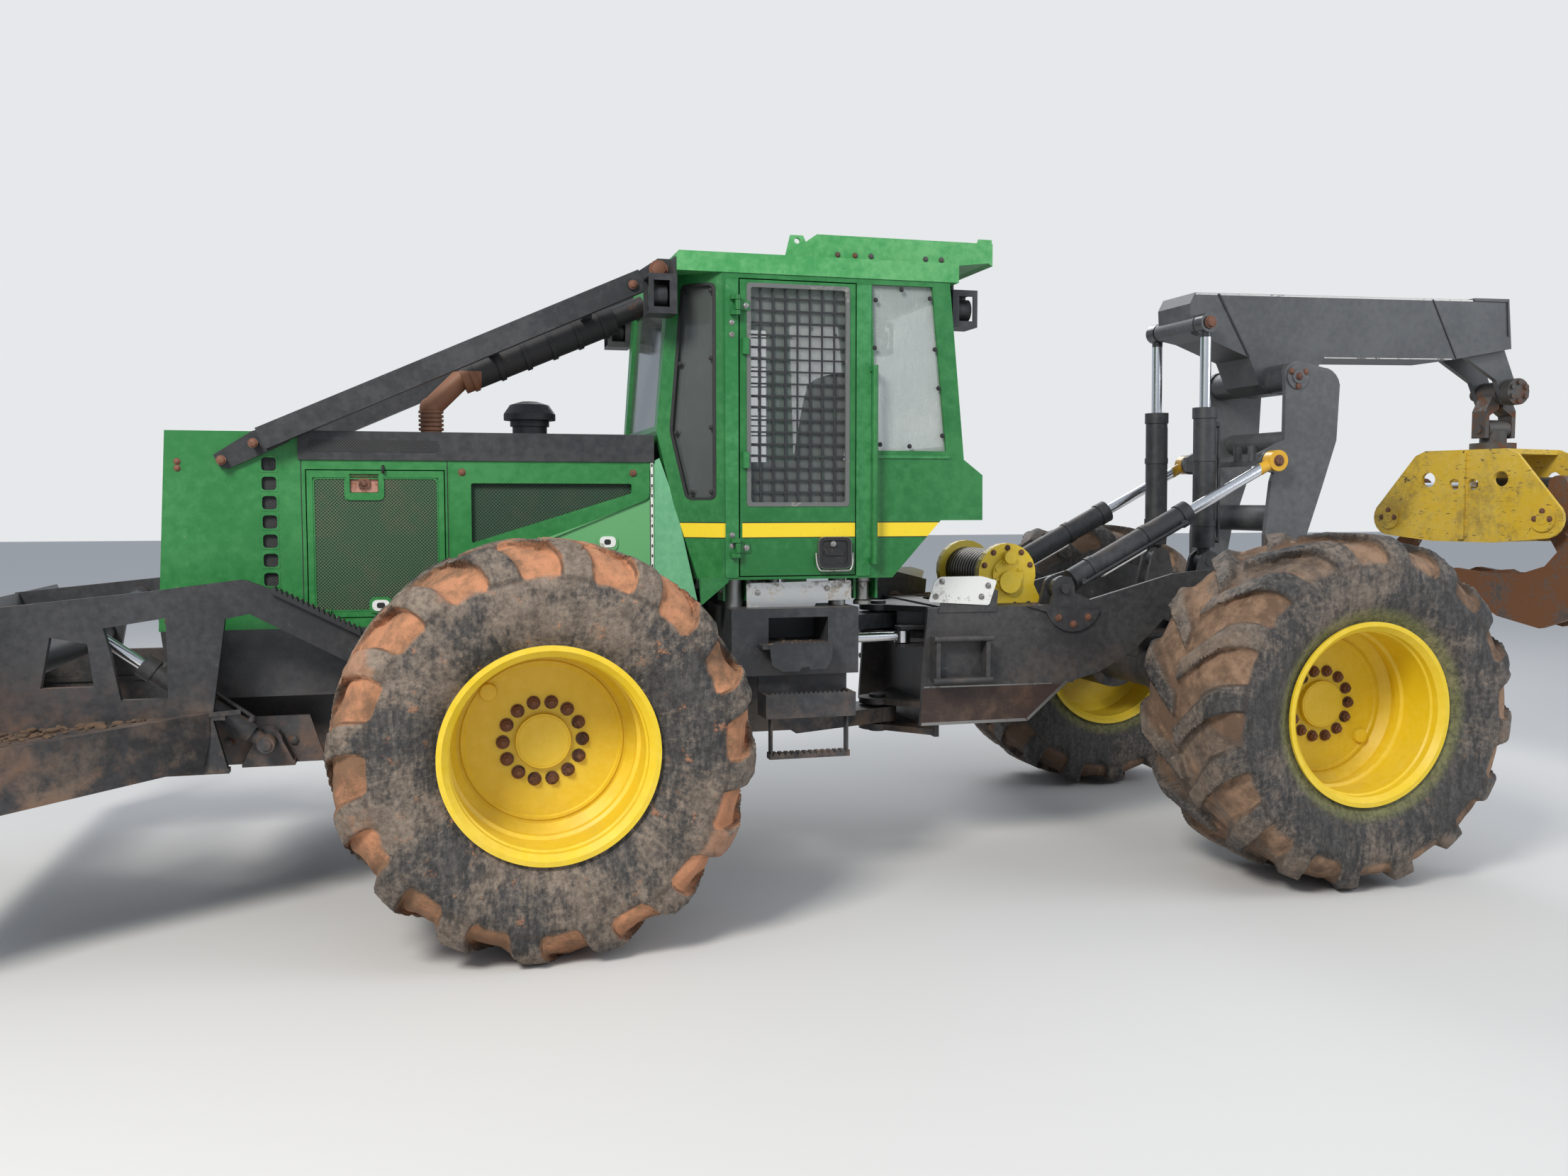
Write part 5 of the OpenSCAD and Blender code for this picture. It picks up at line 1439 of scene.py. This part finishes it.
@dataclass
class HoodDress:
    """Mesh and frame of the engine doors, screen frames, vents and sling eyes of the hood."""

    face: float = 0.520
    louvres: int = 7
    screen_outer: tuple[Spot, ...] = ((1.335, 1.870), (2.255, 1.500), (2.255, 2.030), (1.335, 2.030))
    screen_inner: tuple[Spot, ...] = ((1.420, 1.895), (2.160, 1.665), (2.160, 1.940), (1.420, 1.940))

    def doors(self) -> None:
        """Dresses each engine door: perforated sheet, bead round it, latch frame, lever and sling eye."""
        sheet = [(2.308, 1.364), (2.844, 1.364), (2.844, 1.961), (2.713, 1.961), (2.713, 1.864), (2.541, 1.864),
                 (2.541, 1.961), (2.308, 1.961)]
        bead = rect(2.306, 1.362, 2.846, 1.963)
        dress_doors("ENGINE_DOOR", (
            ("door_mesh", DOOR_SCREEN, "screen", (plate_form(rounded(sheet, 0.008, 3), 0.5118, 0.5145),)),
            ("door_bead", GREEN, "green_paint", (
                ring_form(rounded(bead, 0.020), rounded(grown(bead, -0.006), 0.018), 0.511, 0.5175),
                ring_form(soft_rect(2.541, 1.862, 2.713, 1.972, 0.030), soft_rect(2.566, 1.896, 2.689, 1.969, 0.006),
                          0.511, 0.5205),
                plate_form(soft_rect(2.515, 1.352, 2.615, 1.425, 0.03), 0.519, 0.528))),
            ("latch_plate", LATCH_PLATE, "iron", (
                plate_form(soft_rect(2.568, 1.898, 2.687, 1.977, 0.008, 3), 0.5035, 0.5075),)),
            ("door_lever", BOLT_RUST, "iron", (
                plate_form(soft_rect(2.603, 1.916, 2.652, 1.960, 0.012), 0.503, 0.5186),
                turned(bolt_form(0.012, 0.008), (2.628, 0.5186, 1.938), UP_Y))),
            ("door_eye", WHITE, "green_paint", (
                ring_form(soft_rect(2.527, 1.362, 2.603, 1.412, 0.024), soft_rect(2.547, 1.374, 2.583, 1.400, 0.012),
                          0.527, 0.5305),)),
            # a black plate fills the eye's hole: painted shade of the hole
            ("door_hole", GASKET, "black_paint", (
                plate_form(soft_rect(2.546, 1.373, 2.584, 1.401, 0.012), 0.527, 0.5288),))))

    def sides(self) -> None:
        """Frames of the side screens, the eyes by them, seams, hooks, vents in the black band, and louvres."""
        y = self.face
        pair("screen_frames", Body.CHASSIS, GREEN, "green_paint",
             ring_form(rounded(self.screen_outer, 0.03), rounded(self.screen_inner, 0.012), y - 0.001, y + 0.010),
             plate_form(soft_rect(1.487, 1.625, 1.583, 1.700, 0.03), y - 0.001, y + 0.006))
        hole = rect(1.520, 1.652, 1.552, 1.678)
        pair("hood_eyes", Body.CHASSIS, WHITE, "green_paint",
             ring_form(soft_rect(1.497, 1.640, 1.573, 1.692, 0.024), rounded(hole, 0.012), y + 0.005, y + 0.009))
        hook = [(2.545, y - 0.002, 2.016), (2.545, y + 0.014, 2.012), (2.545, y + 0.016, 1.995),
                (2.545, y + 0.010, 1.985)]
        pair("hood_seams", Body.CHASSIS, GASKET, "black_paint",
             # a black plate fills each eye's hole: painted shade of the hole
             plate_form(rounded(grown(hole, 0.001), 0.012), y + 0.005, y + 0.0072),
             *(box_form((x, y - 0.001, z0), (x + 0.004, y + 0.0006, z1))
               for x, z0, z1 in ((2.262, 1.335, 2.040), (2.892, 1.300, 2.040), (1.3285, 1.345, 1.86))),
             tube_form(curve_through(hook, 5), 0.006, 8))
        windows = [rect(2.995, 1.480 + 0.085 * number, 3.060, 1.543 + 0.085 * number) for number in range(self.louvres)]
        pair("hood_vents", Body.CHASSIS, BLACK_SCREEN, "screen",
             plate_form(soft_rect(2.297, 2.078, 2.863, 2.132, 0.027, 8), y + 0.006, y + 0.0092),
             *(plate_form(grown(window, 0.003), y - 0.020, y - 0.017) for window in windows))
        pair("louvre_trims", Body.CHASSIS, GREEN, "green_paint",
             *(ring_form(rounded(grown(window, 0.005), 0.006), rounded(grown(window, -0.002), 0.018), y - 0.0005,
                         y + 0.0018) for window in windows))

    def gap(self) -> None:
        """Pale panel that paints the sunlit slanted face, and ticked strip between hood and cab."""
        y = self.face
        panel = [(1.128, 1.362), (1.316, 1.345), (1.316, 2.045), (1.288, 2.062), (1.219, 1.838)]
        # painted light: this pale panel stands for the sunlit slanted face at the cab's front corner
        pair("gap_panels", Body.CHASSIS, PAINTED_SUNLIT_GREEN, "green_paint", on_slant(plate_form(panel, 0.742, 0.748)))
        pair("gap_strips", Body.CHASSIS, WHITE, "green_paint",
             box_form((1.316, y - 0.002, 1.360), (1.328, y + 0.0024, 2.040)))
        pair("gap_ticks", Body.CHASSIS, GASKET, "black_paint",
             *(box_form((1.3185, y + 0.002, z), (1.3255, y + 0.0034, z + 0.014)) for z in np.linspace(1.40, 2.02, 14)))

    def build(self) -> None:
        """Makes all of it."""
        self.doors()
        self.sides()
        self.gap()


@dataclass
class CabDress:
    """Window gaskets, door panes, latches, lenses and the seat's padding."""

    face: float = 0.750
    window: tuple[Spot, ...] = tuple(rect(0.420, 1.843, 0.903, 2.858))
    quarter: tuple[Spot, ...] = ((1.062, 1.870), (1.175, 1.870), (1.240, 2.190), (1.190, 2.860), (1.062, 2.860))
    rear_bolts: tuple[Spot, ...] = ((0.151, 2.866), (0.281, 2.812), (0.005, 2.830), (0.285, 2.587), (-0.022, 2.588),
                                    (-0.042, 2.403), (-0.064, 2.175), (0.105, 2.122), (0.255, 2.129))
    front_bolts: tuple[Spot, ...] = ((1.075, 1.900), (1.155, 1.900), (1.075, 2.200), (1.218, 2.180), (1.075, 2.520),
                                     (1.200, 2.500), (1.075, 2.830), (1.172, 2.830))

    def gaskets(self) -> None:
        """Sill under the rear window, raised posts, edge of the quarter, and the small bolts round both panes."""
        y = self.face
        pair("cab_posts", Body.CHASSIS, POST_GREEN, "green_paint",
             box_form((-0.105, y - 0.001, 2.064), (0.300, y + 0.006, 2.078)),
             *(plate_form(soft_rect(x0, 1.500, x1, 2.880, 0.012, 3), y - 0.001, y + 0.0055)
               for x0, x1 in ((0.954, 1.016), (0.304, 0.376))))
        head = bolt_form(0.0085, 0.006)
        pair("window_edges", Body.CHASSIS, GASKET, "black_paint",
             on_slant(ring_form(rounded(grown(self.quarter, 0.006), 0.030), rounded(grown(self.quarter, -0.006), 0.024),
                                y - 0.004, y + 0.003)),
             *(turned(head, (x, y - 0.001, z), UP_Y) for x, z in self.rear_bolts),
             *(turned(head, (x, y - 0.001 + (x - SLANT_X) * SLANT, z), (-SLANT, 1.0, 0.0))
               for x, z in self.front_bolts))

    def doors(self) -> None:
        """Frame, hinge knuckles, pane, latch with its bail, and bolts of each door."""
        y, window = self.face, self.window
        bezel = soft_rect(0.406, 1.540, 0.568, 1.688, 0.034)
        bail = curve_through([(0.578, y + 0.010, 1.612), (0.576, y + 0.018, 1.560), (0.566, y + 0.020, 1.535),
                              (0.545, y + 0.020, 1.528), (0.430, y + 0.020, 1.528), (0.408, y + 0.020, 1.535),
                              (0.398, y + 0.018, 1.560), (0.396, y + 0.010, 1.612)], 4)
        dress_doors("DOOR", (
            ("door_frame", DOOR_TRIM, "black_paint", (
                ring_form(rounded(grown(window, 0.010), 0.018), rounded(grown(window, -0.010), 0.014), y - 0.012,
                          y + 0.003),)),
            ("door_knuckles", POST_GREEN, "green_paint", [
                box_form((0.906, y - 0.001, z), (0.934, y + 0.020, z + 0.075)) for z in (2.538, 2.012)]),
            ("door_pane", DOOR_PANE, "glazing", (plate_form(grown(window, -0.003), y - 0.037, y - 0.031),)),
            ("door_latch", GASKET, "black_paint", (
                ring_form(bezel, soft_rect(0.424, 1.556, 0.552, 1.672, 0.022), y - 0.001, y + 0.024),
                plate_form(soft_rect(0.423, 1.555, 0.553, 1.673, 0.022), y - 0.001, y + 0.0175),
                plate_form(soft_rect(0.440, 1.600, 0.540, 1.636, 0.014), y + 0.017, y + 0.023))),
            ("door_bail", BOLT_STEEL, "iron", (
                tube_form(bail, 0.0055, 8),
                ring_form(soft_rect(0.4045, 1.5385, 0.5695, 1.6895, 0.035), bezel, y - 0.001, y + 0.0245))),
            ("door_bolts", BOLT_STEEL, "iron", [turned(bolt_form(0.011, 0.008), place, UP_Y) for place in (
                (0.918, y + 0.008, 1.640), (0.918, y + 0.008, 2.760), (0.4965, y + 0.023, 1.655))])))

    def lenses(self) -> None:
        """Glass and rims of the four work lamps."""
        lens = lathe_form([(0.047, 0.0), (0.044, 0.005), (0.030, 0.009), (0.004, 0.011)], 28)
        rim = lathe_form([(0.054, -0.001), (0.054, 0.010), (0.047, 0.010), (0.047, -0.001)], 28, True)
        for name, form, finish, slot in (("lamp_lenses", lens, LENS, "glazing"),
                                         ("lamp_rims", rim, GASKET, "black_paint")):
            pair(name, Body.CHASSIS, finish, slot, *(turned(form, (x, y, 2.8), (way, 0.0, 0.0)) for x, y, way in (
                (1.3403, 0.683, 1.0), (-0.2423, 0.600, -1.0))))

    def seat(self) -> None:
        """Crowned cushion and back over the seat's blocks; the back leans to the rear as it rises."""
        points, faces = pillow_form((-0.085, -0.252, 0.0), (0.085, 0.252, 0.62))
        back = points + (np.array([0.372, 0.0, 1.902]) - points[:, 2:] * np.array([0.172, 0.0, 0.0])), faces
        for name, form in (("seat_cushion", pillow_form((0.296, -0.262, 1.798), (0.815, 0.262, 1.965))),
                           ("seat_back", back)):
            Shape(form).piece(name, Body.CHASSIS, SEAT_CLOTH, "cab_trim", 60.0)

    def build(self) -> None:
        """Makes all of it."""
        self.gaskets()
        self.doors()
        self.lenses()
        self.seat()


@dataclass
class StepDress:
    """What lies under the cab's door: mounts on the posts, alloy guard, and the steps' toothed treads."""

    posts: tuple[float, ...] = (0.300, 0.950)
    mount_y: float = 0.620

    def build(self) -> None:
        """Makes the pieces on both sides."""
        points, faces = lathe_form([(0.044, 1.3545), (0.044, 1.372), (0.034, 1.380), (0.034, 1.462), (0.044, 1.470),
                                    (0.044, 1.4865)], 24)
        pair("mount_spools", Body.CHASSIS, BOLT_STEEL, "iron",
             (points + np.array([self.posts[0], self.mount_y, 0.0]), faces))
        channel = [(-0.062, 0.560), (0.062, 0.560), (0.062, 0.672), (0.050, 0.672), (0.050, 0.574), (-0.050, 0.574),
                   (-0.050, 0.672), (-0.062, 0.672)]
        pair("post_brackets", Body.CHASSIS, CAB_GREEN, "green_paint",
             *(plate_form([(post + x, y) for x, y in channel], 1.386, 1.488, (0, 1, 2)) for post in self.posts))
        guard = [(0.383, 1.384), (0.557, 1.379), (0.568, 1.354), (0.902, 1.349), (0.905, 1.469), (0.384, 1.478)]
        pair("alloy_guards", Body.CHASSIS, ALLOY, "rod_chrome", plate_form(rounded(guard, 0.008, 3), 0.696, 0.702))
        tread = [(0.845, 1.196), (0.832, 1.100), (0.780, 1.070), (0.700, 1.070), (0.690, 1.085), (0.655, 1.090),
                 (0.645, 1.075), (0.570, 1.078), (0.545, 1.120), (0.535, 1.196)]
        pair("step_teeth", Body.CHASSIS, FRAME_BLACK, "black_paint",
             plate_form(tread + toothed(0.555, 0.825, 1.196, 0.022, 0.013), 0.8985, 0.9045),
             plate_form(toothed(0.840, 0.445, 0.960, 0.022, 0.013) + [(0.445, 0.950), (0.840, 0.950)], 0.8925, 0.8995))


@dataclass
class RearDress:
    """Guard plate, worn edges, rubbing bars and pin ends of the rear frame."""

    face: float = 0.500

    def build(self) -> None:
        """Makes the pieces on both sides."""
        y = self.face
        plate = [(-0.427, 1.324), (-0.093, 1.347), (-0.126, 1.452), (-0.160, 1.474), (-0.385, 1.474), (-0.470, 1.450)]
        pair("guard_plates", Body.REAR, WHITE, "black_paint",
             plate_form(rounded(plate, 0.012, 3), y + 0.0065, y + 0.012))
        pair("worn_edges", Body.REAR, BOLT_STEEL, "iron", *(plate_form(edge, y - 0.001, y + high) for edge, high in (
            ([(-0.657, 0.7115), (-0.062, 0.7115), (-0.064, 0.727), (-0.640, 0.727)], 0.0015),
            ([(-0.885, 0.906), (-0.662, 0.716), (-0.648, 0.724), (-0.874, 0.918)], 0.0015),
            ([(-0.790, 0.9010), (-0.076, 0.9060), (-0.076, 0.9130), (-0.790, 0.9080)], 0.0020))))
        pair("rubbing_bars", Body.REAR, GREY, "black_paint",
             *(tube_form(np.array([(-0.415, y + 0.088, z), (-0.095, y + 0.088, z)]), 0.015) for z in (0.950, 1.162)),
             turned(lathe_form([(0.098, 0.0), (0.098, 0.012), (0.090, 0.018), (0.052, 0.018), (0.050, 0.010)], 40),
                    (-2.245, y - 0.001, 1.250), UP_Y))


@dataclass
class BoomDress:
    """Seams and worn edges of the boom's box."""

    half: float = 0.165

    def build(self) -> None:
        """Makes the pieces on both sides."""
        for name, finish, slot, height, outlines in (
                ("boom_seams", GASKET, "black_paint", 0.004, (
                    [(-1.955, 3.021), (-1.969, 3.021), (-2.171, 2.676), (-2.155, 2.682)],
                    [(-3.402, 3.047), (-3.409, 3.047), (-3.586, 2.706), (-3.579, 2.706)])),
                ("boom_edges", BOLT_STEEL, "iron", 0.0012, (
                    [(-1.815, 3.011), (-1.815, 3.0215), (-3.690, 3.0560), (-3.690, 3.0460)],
                    [(-2.665, 2.6815), (-3.552, 2.6985), (-3.552, 2.7045), (-2.665, 2.6875)]))):
            pair(name, Body.BOOM, finish, slot,
                 *(plate_form(outline, self.half - 0.001, self.half + height) for outline in outlines))


@dataclass
class CylinderDress:
    """Rigid pipe and its end fittings on a pair of barrels, all held on the barrel.

    base and eye are X-Z places, start and end the pipe's run along the barrel, turn its place round the barrel.
    """

    name: str
    body: Body
    base: Spot
    eye: Spot
    y: float
    radius: float
    start: float
    end: float
    turn_deg: float = 60.0
    guard: bool = False

    def laid(self, form: Form) -> Form:
        """Lays a form on the line from base to eye.

        Args:
            form: points and faces, drawn along +X from the origin.

        Returns:
            The moved points, and the faces.
        """
        run = np.array([self.eye[0] - self.base[0], 0.0, self.eye[1] - self.base[1]])
        run /= np.linalg.norm(run)
        frame = np.array([run, UP_Y, np.cross(run, UP_Y)])
        return form[0] @ frame + np.array([self.base[0], self.y, self.base[1]]), form[1]

    def build(self) -> None:
        """Makes the pieces of both sides."""
        across, up = math.cos(math.radians(self.turn_deg)), math.sin(math.radians(self.turn_deg))
        low, high = self.radius - 0.004, self.radius + 0.018
        path = [(x, across * r, up * r) for x, r in (
            (self.start, low), (self.start + 0.008, high - 0.004), (self.start + 0.035, high),
            (self.end - 0.035, high), (self.end - 0.008, high - 0.004), (self.end, low))]
        boss = lathe_form([(0.017, -0.010), (0.017, 0.014), (0.014, 0.017)], 12)
        pair(f"{self.name}_pipes", self.body, BLACK, "black_paint",
             self.laid(tube_form(curve_through(path, 5), 0.009, 10)),
             *(self.laid(turned(boss, (x, across * self.radius, up * self.radius), (0.0, across, up)))
               for x in (self.start, self.end)))
        if self.guard:
            angle = np.radians(np.linspace(52.0, 128.0, 9))
            outline = [(r * math.cos(a), r * math.sin(a)) for r, run in (
                (self.radius + 0.0065, angle), (self.radius + 0.0105, angle[::-1])) for a in run]
            pair(f"{self.name}_guards", self.body, WHITE, "black_paint",
                 self.laid(plate_form(outline, 0.25, 0.53, (1, 2, 0))))


@dataclass
class Debris:
    """Lumps of bark and clay lying on one body: many small dented balls, sunk into a sloping surface.

    spans are blocks of X, |Y| with the surface's height at both X ends.
    """

    name: str
    body: Body
    count: int
    spans: tuple[tuple[float, float, float, float, float, float], ...]
    size: float = 0.030
    seed: int = 1

    def build(self) -> None:
        """Scatters the lumps on both sides."""
        rng = np.random.default_rng(RANDOM_SEED + self.seed)
        ball, faces = pillow_form((-1.0, -1.0, -1.0), (1.0, 1.0, 1.0), 0.8, 5, 8)
        areas = np.array([(s[1] - s[0]) * (s[3] - s[2]) for s in self.spans])
        picks = rng.choice(len(self.spans), self.count, p=areas / areas.sum())
        shape = Shape()
        for number, pick in enumerate(picks):
            x0, x1, y0, y1, z0, z1 = self.spans[pick]
            t, side = rng.random(), rng.choice((-1.0, 1.0))
            radius = self.size * (0.25 + 0.75 * rng.random() ** 2)
            dent = 1.0 + 0.35 * noise_on(ball, 0.5, number, 2)[:, None]
            size = np.array([rng.uniform(0.8, 2.2), rng.uniform(0.7, 1.3), rng.uniform(0.35, 0.7)])
            form = ball * dent * size * radius
            angle = rng.uniform(0.0, math.pi)
            c, s = math.cos(angle), math.sin(angle)
            form = form @ np.array([[c, s, 0.0], [-s, c, 0.0], [0.0, 0.0, 1.0]])
            place = (x0 + (x1 - x0) * t, side * rng.uniform(y0, y1), z0 + (z1 - z0) * t + radius * 0.1)
            shape.add((form + np.array(place), faces))
        shape.piece(self.name, self.body, DEBRIS, "worn_iron", 60.0)


# the grapple's head rests turned by 14 degrees
HEAD_COS, HEAD_SIN = math.cos(math.radians(14.0)), math.sin(math.radians(14.0))
BOLTS: tuple[BoltSet, ...] = (
    BoltSet("screen_bolts", Body.CHASSIS, BOLT_RUST, 0.013, 0.009, UP_Y,
            ((2.200, 0.530, 1.990), (1.413, 0.530, 1.990), (2.208, 0.530, 1.600))),
    BoltSet("riser_bolts", Body.CHASSIS, BOLT_RUST, 0.016, 0.011, UP_Y,
            ((3.215, 0.570, 2.036), (3.080, 0.607, 2.110), (1.420, 0.613, 2.858))),
    BoltSet("riser_pins", Body.CHASSIS, BOLT_RUST, 0.034, 0.016, UP_Y, ((1.300, 0.613, 2.930),)),
    BoltSet("nose_bolts", Body.CHASSIS, BOLT_RUST, 0.011, 0.008, UP_Y, ((3.399, 0.520, 2.031), (3.399, 0.520, 2.002))),
    BoltSet("skirt_plate_bolts", Body.CHASSIS, IRON, 0.015, 0.009, UP_Y,
            ((3.391, 0.520, 1.126), (3.392, 0.520, 1.095), (3.341, 0.520, 1.333), (3.449, 0.520, 1.336))),
    BoltSet("post_bolts", Body.CHASSIS, BOLT_STEEL, 0.018, 0.013, (1.0, 0.0, 0.0),
            ((1.012, 0.640, 1.440), (0.362, 0.640, 1.440))),
    BoltSet("guard_bolts", Body.CHASSIS, BOLT_STEEL, 0.011, 0.008, UP_Y,
            ((0.505, 0.702, 1.440), (0.850, 0.702, 1.425))),
    BoltSet("hinge_bolts", Body.CHASSIS, BOLT_STEEL, 0.010, 0.007, UP_Y,
            ((0.985, 0.7555, 1.700), (0.985, 0.7555, 1.650), (0.985, 0.7555, 2.681), (0.985, 0.7555, 2.626))),
    BoltSet("skirt_bolts", Body.CHASSIS, IRON, 0.018, 0.012, UP_Y, ((2.950, 0.520, 0.790), (3.220, 0.520, 0.790))),
    BoltSet("plate_bolts", Body.REAR, BOLT_STEEL, 0.012, 0.008, UP_Y,
            ((-0.131, 0.512, 1.374), (-0.383, 0.512, 1.369), (-0.165, 0.512, 1.450), (-0.420, 0.512, 1.425))),
    BoltSet("rod_end_bolts", Body.ARCH_ROD, BOLT_RUST, 0.024, 0.010, UP_Y, ((-2.158, 0.473, 2.080),)),
    BoltSet("boom_eye_bolts", Body.BOOM_ROD, BOLT_RUST, 0.027, 0.010, UP_Y, ((-1.830, 0.295, 2.843),)),
    BoltSet("roof_bolts", Body.CHASSIS, IRON, 0.010, 0.007, UP_Y,
            tuple((x, 0.705, 3.024) for x in (0.457, 0.370, 0.290, 0.012, -0.070))),
    BoltSet("lug_bolts", Body.REAR, BOLT_RUST, 0.015, 0.010, UP_Y,
            ((-0.990, 0.515, 1.250), (-0.905, 0.515, 1.215), (-0.820, 0.515, 1.250))),
    BoltSet("arch_pin_bolts", Body.REAR, BOLT_STEEL, 0.034, 0.020, UP_Y, ((-2.245, 0.509, 1.250),)),
    BoltSet("winch_bolts", Body.REAR, BOLT_RUST, 0.012, 0.009, UP_Y,
            ring_seats((-0.625, 0.300, 1.470), 0.140, (20, 55, 90, 125, 160))),
    BoltSet("boom_pin_bolts", Body.ARCH, BOLT_RUST, 0.014, 0.010, UP_Y,
            ring_seats((-2.335, 0.384, 2.550), 0.052, (30, 150, 270))),
    BoltSet("rod_eye_bolts", Body.ARCH, BOLT_RUST, 0.016, 0.012, UP_Y, ((-2.335, 0.390, 2.550),)),
    BoltSet("edge_bolts", Body.BLADE, IRON, 0.020, 0.012, (1.0, 0.0, 0.1), tuple(
        (4.388, y, 0.478) for y in np.linspace(0.12, 1.36, 6))),
    BoltSet("head_bolts", Body.HEAD, BOLT_RUST, 0.013, 0.010, (HEAD_COS, HEAD_SIN, 0.0), tuple(
        (-4.030 + 0.2965 * HEAD_COS - y * HEAD_SIN, 0.2965 * HEAD_SIN + y * HEAD_COS, z)
        for y0 in (-0.5, 0.5) for y, z in ((y0 - 0.045, 1.755), (y0 + 0.045, 1.755), (y0, 1.80))), False),
)


def main() -> None:
    """Builds the studio, dresses the solids and adds the finer pieces."""
    logging.basicConfig(level=logging.INFO, format="%(message)s")
    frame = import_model()
    Studio().build()
    Machine(frame).dress()
    for side in Side:
        Tyre("front", side, AXLE_X, 1.0).build()
        Tyre("rear", side, -AXLE_X, 0.45).build()
        RimDress("front", side, AXLE_X, (0.222, 0.214)).build()
        RimDress("rear", side, -AXLE_X, (-0.235, -0.170)).build()
    # blocks that the bark lies on: the blade's ledge narrows forwards and falls a little
    ledge = tuple((x, x + 0.1, 0.78, 0.70 + (x - 3.262) * 0.55, 0.974 - (x - 3.138) * 0.071,
                   0.974 - (x - 3.038) * 0.071) for x in np.arange(3.50, 4.30, 0.1))
    steps = ((0.45, 0.84, 0.77, 0.88, 0.862, 0.862), (0.56, 0.86, 0.60, 0.86, 1.192, 1.192))
    decks = ((-1.03, -0.24, 0.0, 0.47, 1.315, 1.315), (-0.64, -0.23, 0.0, 0.46, 0.731, 0.731),
             (-1.98, -1.72, 0.0, 0.47, 1.300, 1.300))
    for dress in (
            HoodDress(), CabDress(), StepDress(), RearDress(), BoomDress(),
            CylinderDress("arch", Body.ARCH_BARREL, (-0.854, 1.402), (-2.158, 2.080), 0.440, 0.060, 0.12, 0.78, 20.0,
                          True),
            CylinderDress("boom", Body.BOOM_BARREL, (-1.844, 1.520), (-1.830, 2.843), 0.250, 0.062, 0.12, 0.76, 75.0),
            CylinderDress("blade", Body.BLADE_BARREL, (3.050, 0.800), (3.800, 1.360), 0.640, 0.045, 0.11, 0.53, 90.0),
            *BOLTS, Debris("blade_debris", Body.BLADE, 300, ledge, 0.022, 1),
            Debris("frame_debris", Body.CHASSIS, 60, steps, 0.016, 2),
            Debris("rear_debris", Body.REAR, 110, decks, 0.028, 3)):
        dress.build()


if __name__ == "__main__":
    main()
